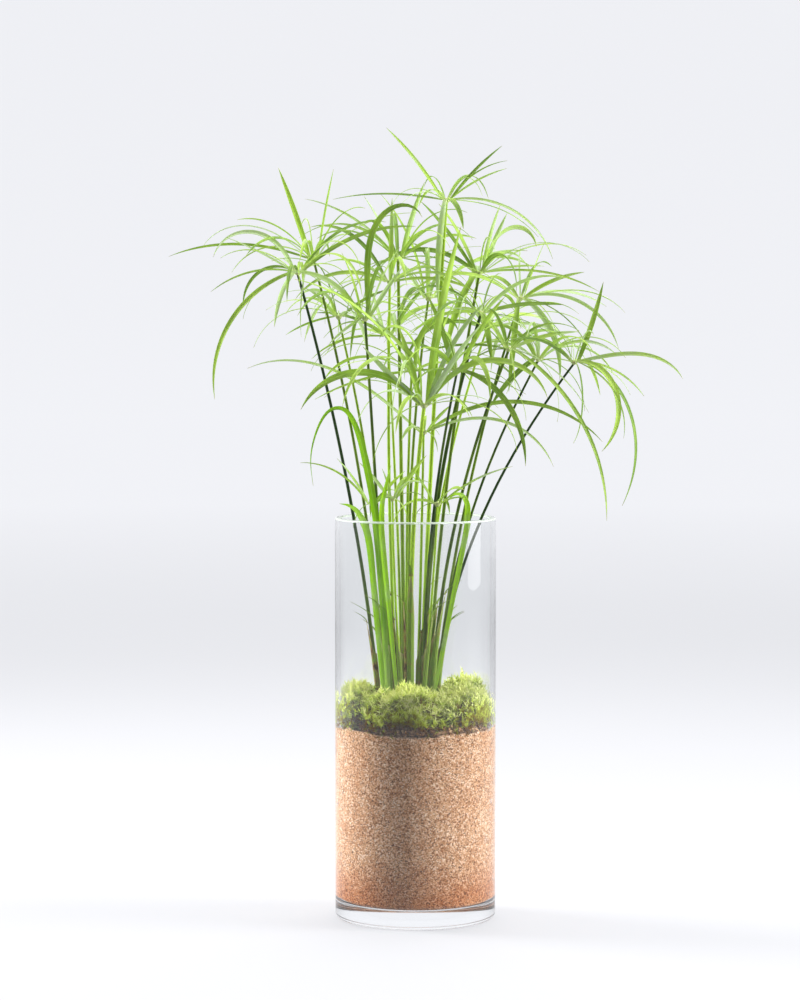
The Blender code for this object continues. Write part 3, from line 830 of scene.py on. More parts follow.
def sedge_blade(name, old, young, through_color, through_share):
    """A living sedge blade: waxy and lit through, with veins end to end, a pale rib, a creamy base and a dry tip; on
    the palest blades a pale sage colour is a painted sheen of the bright surroundings on their upper sides.
    """
    look, tree, at = blank(name)
    uv = add(tree, "UVMap", uv_map="UVMap")
    way = add(tree, "SeparateXYZ", {"Vector": uv})
    run = way.outputs["X"]
    shade = add(tree, "Attribute", attribute_name="shade")
    blotch = add(tree, "TexNoise", {"Vector": at, "Scale": 1 / 0.018, "Detail": 3.0})
    swing = add(tree, "MapRange", {"Value": blotch, "From Min": 0.3, "From Max": 0.7, "To Min": -0.2, "To Max": 0.2})
    fresh = add(tree, "Math", {0: shade.outputs["Fac"], 1: swing}, operation="ADD")
    # Pale sage at the top of the ramp is painted sheen: the bright surroundings mirrored on the upper sides of some
    # blades
    painted_sheen = linear("d3e2c0")
    body = add(tree, "ValToRGB", {"Fac": fresh}, stops=((0.05, old), (0.5, young), (0.62, young), (0.9, painted_sheen)))
    comb = add(tree, "Math", {0: way.outputs["Y"], 1: math.tau * BLADE_VEINS}, operation="MULTIPLY")
    vein = add(tree, "Math", {0: comb}, operation="SINE")
    lines = add(tree, "MapRange", {"Value": vein, "From Min": -1.0, "To Min": 0.82})
    off = add(tree, "Math", {0: way.outputs["Y"], 1: 0.5}, operation="SUBTRACT")
    side = add(tree, "Math", {0: off}, operation="ABSOLUTE")
    rib = add(tree, "MapRange", {"Value": side, "From Min": 0.02, "From Max": 0.09, "To Min": 0.55, "To Max": 0.0})
    veined = add(tree, "Mix", {0: 1.0, 6: body, 7: lines}, data_type="RGBA", blend_type="MULTIPLY")
    ribbed = add(tree, "Mix", {0: rib, 6: veined, 7: linear("b9d38a")}, data_type="RGBA")
    base = add(tree, "MapRange", {"Value": run, "From Max": 0.1, "To Min": 0.8, "To Max": 0.0})
    based = add(tree, "Mix", {0: base, 6: ribbed, 7: linear("dbe3b0")}, data_type="RGBA")
    dry = add(tree, "MapRange", {"Value": run, "From Min": 0.955, "To Max": 0.8})
    tipped = add(tree, "Mix", {0: dry, 6: based, 7: linear("b59a5c")}, data_type="RGBA")
    bump = add(tree, "Bump", {"Height": vein, "Strength": 0.35, "Distance": 0.0001})
    rough = add(tree, "MapRange", {"Value": blotch, "To Min": 0.32, "To Max": 0.55})
    leaf = add(tree, "BsdfPrincipled", {"Base Color": tipped, "Roughness": rough, "Normal": bump})
    glow = add(tree, "Mix", {0: 0.55, 6: tipped, 7: through_color}, data_type="RGBA")
    through = add(tree, "BsdfTranslucent", {"Color": glow, "Normal": bump})
    mix = add(tree, "MixShader", {0: through_share, 1: leaf, 2: through})
    add(tree, "OutputMaterial", {"Surface": mix})
    return look


def sedge_culm(old, young):
    """A living sedge stem: satin, streaked end to end, paler near its foot."""
    look, tree, at = blank("sedge_culm")
    stretch = add(tree, "Mapping", {"Vector": at, "Scale": (1.0, 1.0, 0.02)})
    streak = add(tree, "TexNoise", {"Vector": stretch, "Scale": 1 / 0.0005, "Detail": 2.0})
    blotch = add(tree, "TexNoise", {"Vector": at, "Scale": 1 / 0.03, "Detail": 2.0})
    shade = add(tree, "Attribute", attribute_name="shade")
    climb = add(tree, "Attribute", attribute_name="climb")
    swing = add(tree, "MapRange", {"Value": blotch, "From Min": 0.3, "From Max": 0.7, "To Min": -0.12, "To Max": 0.12})
    fresh = add(tree, "Math", {0: shade.outputs["Fac"], 1: swing}, operation="ADD")
    body = add(tree, "ValToRGB", {"Fac": fresh}, stops=((0.0, old), (1.0, young)))
    lines = add(tree, "MapRange", {"Value": streak, "From Min": 0.3, "From Max": 0.7, "To Min": 0.7, "To Max": 1.1})
    streaked = add(tree, "Mix", {0: 1.0, 6: body, 7: lines}, data_type="RGBA", blend_type="MULTIPLY")
    foot = add(tree, "MapRange", {"Value": climb.outputs["Fac"], "From Max": 0.45, "To Min": 0.5, "To Max": 0.0})
    footed = add(tree, "Mix", {0: foot, 6: streaked, 7: linear("a9c25a")}, data_type="RGBA")
    bump = add(tree, "Bump", {"Height": streak, "Strength": 0.35, "Distance": 0.00015})
    rough = add(tree, "MapRange", {"Value": blotch, "To Min": 0.35, "To Max": 0.5})
    culm = add(tree, "BsdfPrincipled", {"Base Color": footed, "Roughness": rough, "Normal": bump})
    through = add(tree, "BsdfTranslucent", {"Color": footed})
    mix = add(tree, "MixShader", {0: 0.2, 1: culm, 2: through})
    add(tree, "OutputMaterial", {"Surface": mix})
    return look


def papery_sheath(green, brown):
    """A leaf sheath: thin and ribbed, purple-brown at the foot or where it is old, green above, papery at its mouth."""
    look, tree, at = blank("papery_sheath")
    uv = add(tree, "UVMap", uv_map="UVMap")
    way = add(tree, "SeparateXYZ", {"Vector": uv})
    run = way.outputs["X"]
    old = add(tree, "Attribute", attribute_name="old")
    blotch = add(tree, "TexNoise", {"Vector": at, "Scale": 1 / 0.007, "Detail": 3.0})
    foot = add(tree, "MapRange", {"Value": run, "From Max": 0.35, "To Min": 0.35, "To Max": -0.1})
    age = add(tree, "Math", {0: old.outputs["Fac"], 1: foot}, operation="ADD")
    spots = add(tree, "MapRange", {"Value": blotch, "From Min": 0.3, "From Max": 0.7, "To Min": -0.3, "To Max": 0.3})
    aged = add(tree, "Math", {0: age, 1: spots}, operation="ADD")
    body = add(tree, "ValToRGB", {"Fac": aged}, stops=((0.3, green), (0.6, linear("b59b5a")), (0.85, brown)))
    mouth = add(tree, "MapRange", {"Value": run, "From Min": 0.86, "To Max": 0.7})
    tipped = add(tree, "Mix", {0: mouth, 6: body, 7: linear("dccf9d")}, data_type="RGBA")
    comb = add(tree, "Math", {0: way.outputs["Y"], 1: math.tau * SHEATH_RIBS}, operation="MULTIPLY")
    vein = add(tree, "Math", {0: comb}, operation="SINE")
    lines = add(tree, "MapRange", {"Value": vein, "From Min": -1.0, "To Min": 0.75})
    veined = add(tree, "Mix", {0: 1.0, 6: tipped, 7: lines}, data_type="RGBA", blend_type="MULTIPLY")
    bump = add(tree, "Bump", {"Height": vein, "Strength": 0.5, "Distance": 0.00012})
    rough = add(tree, "MapRange", {"Value": blotch, "To Min": 0.45, "To Max": 0.75})
    leaf = add(tree, "BsdfPrincipled", {"Base Color": veined, "Roughness": rough, "Normal": bump})
    through = add(tree, "BsdfTranslucent", {"Color": veined})
    mix = add(tree, "MixShader", {0: 0.35, 1: leaf, 2: through})
    add(tree, "OutputMaterial", {"Surface": mix})
    return look


def umbel_crown():
    """The crown where the bracts part: pale green with straw-brown specks."""
    look, tree, at = blank("umbel_crown")
    speck = add(tree, "TexNoise", {"Vector": at, "Scale": 1 / 0.0012, "Detail": 3.0})
    color = add(
        tree,
        "ValToRGB",
        {"Fac": speck},
        stops=((0.3, linear("8aa84a")), (0.55, linear("c9d596")), (0.75, linear("b5925a"))),
    )
    bump = add(tree, "Bump", {"Height": speck, "Strength": 0.6, "Distance": 0.0003})
    crown = add(tree, "BsdfPrincipled", {"Base Color": color, "Roughness": 0.6, "Normal": bump})
    add(tree, "OutputMaterial", {"Surface": crown})
    return look


def studio_paper(color, glow, back_glow, front_glow):
    """Matt background paper, faintly mottled and evenly lit: bright all round to the eye.

    What it throws on the plant is window light: strong from behind and the sides, weak from the front.
    """
    look, tree, at = blank("studio_paper")
    mottle = add(tree, "TexNoise", {"Vector": at, "Scale": 1 / 0.4, "Detail": 3.0})
    shade = add(tree, "MapRange", {"Value": mottle, "To Min": 0.97})
    grey = (0.17, 0.17, 0.175, 1.0)
    tone = add(tree, "Mix", {0: 1.0, 6: grey, 7: shade}, data_type="RGBA", blend_type="MULTIPLY")
    away = add(tree, "VectorMath", {0: at}, operation="LENGTH")
    near_glow = glow * 0.78
    seen = add(tree, "MapRange", {"Value": away, "From Min": 0.3, "From Max": 6.0, "To Min": near_glow, "To Max": glow})
    back = add(tree, "SeparateXYZ", {"Vector": at}).outputs["Y"]
    cast = add(
        tree,
        "MapRange",
        {"Value": back, "From Min": -3.0, "From Max": 6.0, "To Min": front_glow, "To Max": back_glow},
        interpolation_type="SMOOTHSTEP",
    )
    mirrored = add(
        tree,
        "MapRange",
        {"Value": back, "From Min": -1.5, "From Max": 6.0, "To Min": 0.04, "To Max": 0.9},
        interpolation_type="SMOOTHSTEP",
    )
    # The glass mirrors the darker front of the studio, less so where the ray has been inside it or ends close by
    path = add(tree, "LightPath")
    once = add(tree, "MapRange", {"Value": path.outputs["Glossy Depth"]})
    inside = add(tree, "MapRange", {"Value": path.outputs["Transmission Depth"], "To Min": 1.0, "To Max": 0.7})
    far = add(tree, "MapRange", {"Value": away, "From Min": 0.5, "From Max": 2.2})
    outside = add(tree, "Math", {0: once, 1: inside}, operation="MULTIPLY")
    share = add(tree, "Math", {0: outside, 1: far}, operation="MULTIPLY")
    shown = add(tree, "Mix", {0: share, 2: seen, 3: mirrored})
    strength = add(tree, "Mix", {0: path.outputs["Diffuse Depth"], 2: shown, 3: cast})
    paper = add(
        tree,
        "BsdfPrincipled",
        {"Base Color": tone, "Roughness": 0.9, "Emission Color": color, "Emission Strength": strength},
    )
    add(tree, "OutputMaterial", {"Surface": paper})
    return look


# Straight templates that culms and blades are bent from


def make_blade():
    """A flat strip creased along its middle, one long and two wide, with its root at the origin."""
    deselect()
    bpy.ops.mesh.primitive_grid_add(x_subdivisions=BRACT_STEPS, y_subdivisions=4, size=1)
    blade = bpy.context.object
    spots = places_of(blade.data)
    across = 2 * spots[:, 1]
    crease = np.sqrt(across**2 + 0.03)
    move_to(blade.data, np.stack([spots[:, 0] + 0.5, across, 0.42 * crease], 1))
    return blade


def make_rod():
    """A faintly three-angled rod, one long and one in radius, drawn out ring by ring."""
    deselect()
    bpy.ops.mesh.primitive_circle_add(vertices=12, radius=1, fill_type="NGON", rotation=(0, math.radians(90), 0))
    rod = bpy.context.object
    bpy.ops.object.transform_apply(location=False, rotation=True, scale=False)
    bpy.ops.object.mode_set(mode="EDIT")
    bpy.ops.mesh.select_all(action="SELECT")
    for _ in range(BRACT_STEPS):
        bpy.ops.mesh.extrude_region_move(TRANSFORM_OT_translate={"value": (1 / BRACT_STEPS, 0, 0)})
    bpy.ops.mesh.select_all(action="SELECT")
    bpy.ops.mesh.normals_make_consistent(inside=False)
    bpy.ops.object.mode_set(mode="OBJECT")
    spots = places_of(rod.data)
    swell = 1 + 0.07 * np.cos(3 * np.arctan2(spots[:, 2], spots[:, 1]))
    move_to(rod.data, spots * np.stack([np.ones(len(spots)), swell, swell], 1))
    return rod


def make_wrap():
    """A strip rolled once round the x axis with its edges overlapping, and cut on the slant to a point."""
    deselect()
    bpy.ops.mesh.primitive_grid_add(x_subdivisions=12, y_subdivisions=18, size=1)
    wrap = bpy.context.object
    spots = places_of(wrap.data)
    turn = spots[:, 1] * math.tau * 1.02
    reach = 1 + 0.1 * spots[:, 1]
    slant = 0.66 + 0.34 * ((1 + np.cos(turn)) / 2) ** 3
    move_to(wrap.data, np.stack([(spots[:, 0] + 0.5) * slant, reach * np.cos(turn), reach * np.sin(turn)], 1))
    return wrap


def bend(template, name, line, across, half, look, roll=(0.0, 0.0), **marks):
    """A copy of a straight template laid along a line of points, in millimetres.

    Its x runs the line, its y goes across and its z up, both times the half width at that place.
    It is rolled about the line by one angle at its root and another at its end.
    """
    mesh = template.data.copy()
    spots = places_of(mesh)
    line = np.asarray(line, float)
    tangent = np.gradient(line, axis=0)
    tangent /= np.linalg.norm(tangent, axis=1)[:, None]
    across = np.broadcast_to(np.asarray(across, float), line.shape)
    across = across - tangent * (across * tangent).sum(1)[:, None]
    across = across / np.linalg.norm(across, axis=1)[:, None]
    up = np.cross(tangent, across)
    turn = np.radians(np.linspace(*roll, len(line)))[:, None]
    across, up = across * np.cos(turn) + up * np.sin(turn), up * np.cos(turn) - across * np.sin(turn)
    share = np.clip(spots[:, 0], 0, 1) * (len(line) - 1)
    low = np.minimum(share.astype(int), len(line) - 2)
    part = (share - low)[:, None]

    def there(values):
        return values[low] * (1 - part) + values[low + 1] * part

    wide = there(np.asarray(half, float)[:, None])
    move_to(mesh, (there(line) + there(across) * spots[:, 1:2] * wide + there(up) * spots[:, 2:3] * wide) * MM)
    mesh.materials.clear()
    mesh.materials.append(look)
    for key, value in marks.items():
        mark(mesh, key, spots[:, 0] if value == "climb" else value)
    piece = bpy.data.objects.new(name, mesh)
    bpy.context.scene.collection.objects.link(piece)
    return piece


def smooth_line(route, steps):
    """Points spread evenly by count along a smooth curve through a route's points."""
    route = np.asarray(route, float)
    padded = np.vstack([2 * route[0] - route[1], route, 2 * route[-1] - route[-2]])
    spans = len(route) - 1
    points = []
    for i in range(steps + 1):
        at = spans * i / steps
        k = min(int(at), spans - 1)
        t = at - k
        a, b, c, d = padded[k : k + 4]
        points.append(0.5 * (2 * b + (c - a) * t + (2 * a - 5 * b + 4 * c - d) * t**2 + (3 * b - a - 3 * c + d) * t**3))
    return np.array(points)


# Sizes and colours that a user would change


def colour(name, description, code):
    return bpy.props.FloatVectorProperty(
        name=name, description=description, default=linear(code), size=4, subtype="COLOR", min=0, max=1
    )


def length(name, description, default, least, most, **rest):
    return bpy.props.FloatProperty(
        name=name, description=description, default=default, min=least, max=most, unit="LENGTH", **rest
    )


def bright(name, description, default, most):
    return bpy.props.FloatProperty(name=name, description=description, default=default, min=0, max=most)


def power(name, description, default):
    return bpy.props.FloatProperty(name=name, description=description, default=default, min=0, unit="POWER")


def whole(name, description, default, least, most):
    return bpy.props.IntProperty(name=name, description=description, default=default, min=least, max=most)


class VaseSettings(bpy.types.PropertyGroup):
    radius: length("Radius", "Outer radius of the glass", GLASS_HIGH.x, 0.03, 0.3)
    height: length("Height", "Height of the vase", GLASS_HIGH.z, 0.05, 1.0)
    wall: length("Wall", "Thickness of the wall", 0.004, 0.001, 0.01)
    base: length("Base", "Thickness of the solid base", FLOOR * MM, 0.002, 0.04)
    sides: whole("Sides", "Facets round the glass", 160, 24, 512)
    tint: colour("Tint", "Colour of the glass", "fdfefe")
    # Colour of the painted glow on the rim
    rim: colour("Rim", "Colour of the light in the rim", "f0faee")


class SandSettings(bpy.types.PropertyGroup):
    grain: length("Grain", "Width of one grain", 0.00075, 0.0002, 0.004, precision=5)
    loose: whole("Loose grains", "Grains that lie on the rim of the bed", 1800, 0, 6000)
    pale: colour("Pale grains", "Cream quartz", "e3c09e")
    mid: colour("Common grains", "Tan quartz", "c3946c")
    dark: colour("Dark grains", "Iron-stained grains", "7e5230")
    damp: colour("Damp", "What damp patches multiply by", "e2c6aa")


class MossSettings(bpy.types.PropertyGroup):
    shoots: whole("Shoots", "Shoots on a full-sized cushion", 1350, 100, 2700)
    length: length("Shoot length", "Length of a common shoot", 0.0108, 0.002, 0.02)
    # The depths' colour: partly the moss's own brown, partly painted shade
    shadow: colour("Depths", "Colour down among the shoots", "6e4e18")
    old: colour("Old shoots", "Olive of the lower shoots", "949838")
    fresh: colour("Fresh shoots", "Green of the upper shoots", "cde050")
    tip: colour("Tips", "Yellow-green of the curled tips", "f6f9a8")


class PlantSettings(bpy.types.PropertyGroup):
    rays: whole("Thin bracts", "Thread-thin bracts on a full umbel", 6, 0, 20)
    blade: length("Blade thickness", "Thickness of a bract", 0.00025, 0.0001, 0.001, precision=5)
    old: colour("Old blades", "Green of the oldest bracts", "7f9f50")
    young: colour("Young blades", "Green of the youngest bracts", "c6df74")
    lit: colour("Lit through", "Colour with light behind", "d6f054")
    culm_old: colour("Old stems", "Green of the oldest stems", "24440f")
    culm_young: colour("Young stems", "Green of the youngest stems", "c0e640")


class StageSettings(bpy.types.PropertyGroup):
    paper: colour("Paper", "Colour of floor and backdrop", "f3f4f8")
    glow: bright("Glow", "How bright the paper looks", 0.8, 2)
    back_glow: bright("Light from behind", "Light that the paper behind throws on the plant", 1.0, 4)
    front_glow: bright("Light from the front", "Light that the paper in front throws on the plant", 0.12, 4)
    left_lamp: power("Left lamp", "Power of the soft box at the left", 28.0)
    right_lamp: power("Right lamp", "Power of the soft box at the right", 17.5)
    top_lamp: power("Top lamp", "Power of the soft box above and behind", 15.0)
    window_lamp: power("Window", "Power of the tall light that the glass mirrors", 6.0)


# Vase, sand, soil and moss


class PAPYRUS_OT_vase(bpy.types.Operator):
    """Draws the vase up from a disc of glass, hollows it and melts its edges round"""

    bl_idname = "papyrus.vase"
    bl_label = "Glass vase"

    def execute(self, context):
        size = context.scene.papyrus_vase
        radius, height, wall, base = (value / MM for value in (size.radius, size.height, size.wall, size.base))
        deselect()
        bpy.ops.mesh.primitive_cylinder_add(
            vertices=size.sides,
            radius=size.radius,
            depth=size.height,
            end_fill_type="NGON",
            location=(0, 0, size.height / 2),
        )
        bpy.ops.object.transform_apply(location=True)
        vase = context.object
        vase.name = vase.data.name = "glass_cylinder"
        bpy.ops.object.mode_set(mode="EDIT")
        pick("FACE", lambda middle, normal: normal.z > 0.9)
        bpy.ops.mesh.inset(thickness=size.wall)
        bpy.ops.mesh.extrude_region_move(TRANSFORM_OT_translate={"value": (0, 0, size.base - size.height)})
        pick("EDGE", lambda middle, normal: middle.z < 0.5 and middle.to_2d().length > radius - 1)
        bpy.ops.mesh.bevel(offset=FOOT_ROUND * MM, segments=7, affect="EDGES")
        pick("EDGE", lambda middle, normal: abs(middle.z - base) < 0.5 and middle.to_2d().length > radius - wall - 1)
        bpy.ops.mesh.bevel(offset=WELL_ROUND * MM, segments=6, affect="EDGES")
        pick("EDGE", lambda middle, normal: middle.z > height - 0.5)
        bpy.ops.mesh.bevel(offset=RIM_ROUND * MM, segments=5, affect="EDGES")
        # A cut just past each rounding keeps the long straight walls flat when they are smoothed
        for z in (FOOT_ROUND + 0.4, base + WELL_ROUND + 0.4, height - RIM_ROUND - 0.4):
            bpy.ops.mesh.select_all(action="SELECT")
            bpy.ops.mesh.bisect(plane_co=(0, 0, z * MM), plane_no=(0, 0, 1))
        bpy.ops.object.mode_set(mode="OBJECT")
        vase.data.materials.append(blown_glass(size.tint))
        vase.data.materials.append(painted_rim_glow(size.rim))
        # The faces of the rim take the painted glow: a pale colour that stands in for the light leaving the rim
        for face in vase.data.polygons:
            face.material_index = int(face.center.z / MM > height - RIM_ROUND)
        bpy.ops.object.shade_smooth_by_angle(angle=math.radians(35))
        hand_over(vase, "vase")
        return {"FINISHED"}


def sand_height(x, y):
    """The sand's surface, level under the soil and wavy beside the glass."""
    edge = max(0.0, (math.hypot(x, y) - SOIL_RADIUS) / (BORE - SOIL_RADIUS))
    turn = math.atan2(y, x)
    wave = 1.8 + 1.8 * math.cos(2 * turn) + 1.0 * math.sin(5 * turn + 1) + 2.2 * ripple((x, y, 0), 8.0, 9)
    return SAND_TOP + edge * wave


def sand_ripple(x, y):
    """The small unevenness of the sand beside the glass."""
    return 0.7 * ripple((x, y, 0), 2.2) + 0.5 * ripple((x, y, 0), 6.0, 3)


def random_turns(chance, count):
    """Rotation matrices that point every way alike."""
    quats = chance.normal(size=(count, 4))
    w, x, y, z = (quats / np.linalg.norm(quats, axis=1)[:, None]).T
    rows = [1 - 2 * (y * y + z * z), 2 * (x * y - z * w), 2 * (x * z + y * w)]
    rows += [2 * (x * y + z * w), 1 - 2 * (x * x + z * z), 2 * (y * z - x * w)]
    rows += [2 * (x * z - y * w), 2 * (y * z + x * w), 1 - 2 * (x * x + y * y)]
    return np.stack(rows, 1).reshape(-1, 3, 3)


def pebble_shape():
    """The corners and faces of a small rough ball."""
    deselect()
    bpy.ops.mesh.primitive_ico_sphere_add(subdivisions=1, radius=0.5)
    ball = bpy.context.object
    verts = places_of(ball.data).copy()
    faces = [tuple(face.vertices) for face in ball.data.polygons]
    verts *= 1 + 0.18 * np.sin(np.arange(len(verts)) * 2.4)[:, None]
    bpy.data.objects.remove(ball)
    return verts, faces


class PAPYRUS_OT_sand(bpy.types.Operator):
    """Pours the bed of sand, uneven where it meets the glass, with loose grains on its rim"""

    bl_idname = "papyrus.sand"
    bl_label = "Sand bed"

    def execute(self, context):
        size = context.scene.papyrus_sand
        look = washed_sand(size.grain, size.pale, size.mid, size.dark, size.damp)
        bed, floor = BORE + 0.03, FLOOR + GAP
        profile = [(0, floor), (bed - 20, floor)]
        for turn in np.radians(range(0, 91, 15)):
            profile.append((bed - WELL_ROUND * (1 - math.sin(turn)), floor + WELL_ROUND * (1 - math.cos(turn))))
        profile += [(bed, z) for z in np.arange(floor + 5, SAND_TOP - 5, 2.0)]
        profile += [(bed, SAND_TOP - 3), (bed, SAND_TOP - 1), (bed - 0.3, SAND_TOP)]
        profile += [(r, SAND_TOP) for r in (bed - 1, bed - 2, bed - 3.2, bed - 4.5, bed - 6, bed - 10, bed - 20)]
        profile += [(0, SAND_TOP)]
        sand = turned("sand_bed", profile, 240, look)
        spots = places_of(sand.data) / MM
        for i, (x, y, z) in enumerate(spots):
            reach = math.hypot(x, y)
            if z > SAND_TOP - 2 and reach > SOIL_RADIUS - 4:
                spots[i, 2] = sand_height(x, y) + (z - SAND_TOP) + sand_ripple(x, y)
            elif reach > bed - 1:
                spots[i, :2] *= 1 - 0.0004 * (1 + ripple((x, y, z), 4.0))
        move_to(sand.data, spots * MM)
        chance = np.random.default_rng(11)
        turn = chance.uniform(0, math.tau, size.loose)
        reach = bed - 0.6 - 6.0 * chance.power(0.8, size.loose)
        places = []
        for t, r in zip(turn, reach):
            x, y = r * math.cos(t), r * math.sin(t)
            places.append((x, y, sand_height(x, y) + sand_ripple(x, y)))
        verts, faces = pebble_shape()
        sizes = chance.uniform(0.5, 1.15, size.loose) * chance.uniform(0.75, 1.2, (size.loose, 3))[:, 0]
        turns = random_turns(chance, size.loose)
        grains = scatter("grains", verts, faces, np.array(places), turns, sizes, look)
        sand = join([sand, grains], "sand_bed")
        bpy.ops.object.shade_smooth_by_angle(angle=math.radians(50))
        hand_over(sand, "sand")
        return {"FINISHED"}


def soil_reach(turn):
    """How far the soil reaches from the middle: against the glass at the front right, back from it elsewhere."""
    against = 0.5 + 0.5 * math.cos(turn - math.radians(300))
    wander = 1.6 * ripple((9 * math.cos(turn), 9 * math.sin(turn), 0), 4.0, 8)
    return min(BORE + 0.04, SOIL_RADIUS - 4.5 + 9.5 * against**1.5 + wander)


class PAPYRUS_OT_soil(bpy.types.Operator):
    """Forms the flat clod of soil that the plant was lifted in, with its crumbs and its cut roots"""

    bl_idname = "papyrus.soil"
    bl_label = "Soil and roots"

    def execute(self, context):
        look = potting_soil()
        low = SAND_TOP + GAP
        profile = [(share, low) for share in (0, 0.6, 0.93)]
        profile += [(0.97, low + 0.8), (0.99, low + 2), (1.0, low + 3.2), (1.0, low + 4.4), (0.99, low + 5.6)]
        profile += [(0.965, low + 6.8), *((share, SOIL_TOP) for share in (0.93, 0.85, 0.7, 0.5, 0.3, 0))]
        clod = turned("soil_clod", [(share * SOIL_RADIUS, z) for share, z in profile], 200, look)
        spots = places_of(clod.data) / MM
        for i, (x, y, z) in enumerate(spots):
            share = math.hypot(x, y) / SOIL_RADIUS
            reach = soil_reach(math.atan2(y, x)) / SOIL_RADIUS
            rough = 1.3 * ripple((x, y, z), 3.0) + 0.7 * ripple((x, y, z), 1.3, 5)
            sink = 1.8 * ripple((x, y, 0), 9.0, 4)
            grow = reach * (1 + (rough - 0.6) / 50 * min(1.0, share * 1.2))
            grow = min(grow, (BORE + 0.04) / max(share * SOIL_RADIUS, 1))
            if z < low + 0.5:
                lift = -(share**6) * max(0.0, 1.4 + 4.0 * ripple((x, y, 0), 6.0, 6))
            else:
                lift = 0.8 * rough - 0.3 + sink * share**3 * (z - low) / (SOIL_TOP - low)
            spots[i] = (x * grow, y * grow, z + lift)
        move_to(clod.data, spots * MM)
        chance = np.random.default_rng(5)
        count = CRUMBS
        turn = chance.uniform(0, math.tau, count)
        rise = chance.uniform(0, 1, count)
        share = np.where(rise < 0.6, chance.uniform(0.93, 1.02, count), chance.uniform(0.1, 0.98, count))
        reach = np.minimum(np.array([soil_reach(t) for t in turn]) * share, BORE - 0.4)
        height = np.where(rise < 0.6, low + 1.2 + chance.uniform(0, 6.6, count), SOIL_TOP + 0.1)
        places = np.stack([reach * np.cos(turn), reach * np.sin(turn), height], 1)
        verts, faces = pebble_shape()
        sizes = chance.uniform(0.7, 2.4, count)
        crumbs = scatter("crumbs", verts, faces, places, random_turns(chance, count), sizes, look)
        straw = fine_roots()
        rod = make_rod()
        roots = []
        for _ in range(ROOTS):
            turn = chance.uniform(0, math.tau)
            spot = heading(turn) * (soil_reach(turn) * chance.uniform(0.95, 1.01))
            spot[2] = chance.uniform(low + 1.0, SOIL_TOP)
            way = turn + math.pi / 2 * chance.choice([-1, 1]) + chance.uniform(-0.4, 0.4)
            dive = chance.uniform(-0.5, 0.3)
            line = []
            for _ in range(9):
                line.append(spot.copy())
                step = chance.uniform(0.9, 2.2)
                spot = spot + step * (heading(way) + (0, 0, dive))
                reach = math.hypot(spot[0], spot[1])
                most = min(soil_reach(math.atan2(spot[1], spot[0])) + 0.8, BORE - 1.2)
                spot[:2] *= min(1.0, most / reach)
                spot[2] = min(max(spot[2], low + 0.5), SOIL_TOP + 1)
                way += chance.uniform(-0.5, 0.5)
                dive = float(np.clip(dive + chance.uniform(-0.35, 0.35), -0.7, 0.5))
            thick = chance.uniform(0.12, 0.34) * np.linspace(1, 0.45, 9)
            half = np.interp(np.linspace(0, 8, 25), range(9), thick)
            roots.append(bend(rod, "root", smooth_line(line, 24), (0, 0, 1), half, straw))
        bpy.data.objects.remove(rod)
        soil = join([clod, crumbs, *roots], "soil_clod")
        bpy.ops.object.shade_smooth_by_angle(angle=math.radians(45))
        hand_over(soil, "soil")
        return {"FINISHED"}


def is_free(point, middle):
    """True where a cushion may lie: inside the glass, off the stems and nearer its own middle than any other."""
    wall = 0.9
    if point.length > BORE - wall:
        return False
    room_x, room_y, half_x, half_y = STEM_ROOM
    if math.hypot((point.x - room_x) / half_x, (point.y - room_y) / half_y) < 1.0:
        return False
    own = (point - middle).length
    others = [Vector((x, y)) for _, x, y, _, _ in MOSS if (x, y) != tuple(middle)]
    return all((point - other).length > own + 2 * wall for other in others)


def moss_reach(middle, turn, most):
    """How far a cushion reaches from its middle in one direction."""
    step = 0.5
    way = Vector((math.cos(turn), math.sin(turn)))
    reach = step
    while reach < most and is_free(middle + way * (reach + step), middle):
        reach += step
    return reach


def moss_shoot():
    """Corners, faces and reach of one shoot: a curled, tapering stem with small keeled leaves in two rows."""

    def stem(t):
        return np.array([0.30 * t**2.2, 0.05 * math.sin(4 * t), t - 0.12 * t**3])

    verts, faces, reach = [], [], []
    rings = 4
    for i in range(rings):
        t = i / (rings - 1)
        for k in range(3):
            turn = math.tau * k / 3
            radius = 0.04 * (1 - 0.85 * t)
            verts.append(stem(t) + radius * np.array([math.cos(turn), math.sin(turn), 0]))
            reach.append(t)
    for i in range(rings - 1):
        for k in range(3):
            a, b = i * 3 + k, i * 3 + (k + 1) % 3
            faces += [(a, b, b + 3), (a, b + 3, a + 3)]
    faces += [(2, 1, 0), (3 * rings - 3, 3 * rings - 2, 3 * rings - 1)]
    for i in range(9):
        t = 0.14 + 0.84 * i / 8
        turn = math.radians(90 + 180 * (i % 2) + 35 * math.sin(2.1 * i))
        out, side = heading(turn), heading(turn + math.pi / 2)
        size = 0.56 * (1 - 0.5 * t)
        root = stem(t) + out * 0.01
        start = len(verts)
        verts += [root + side * size * 0.17, root - side * size * 0.17, root - np.array([0, 0, size * 0.12])]
        verts += [root + out * size * 0.75 + np.array([0.3 * size, 0, 0.66 * size])]
        reach += [t - 0.1, t - 0.1, t - 0.1, min(1.05, t + 0.4)]
        a, b, c, d = range(start, start + 4)
        faces += [(a, b, d), (b, c, d), (c, a, d), (a, c, b)]
    return np.array(verts), faces, np.array(reach)


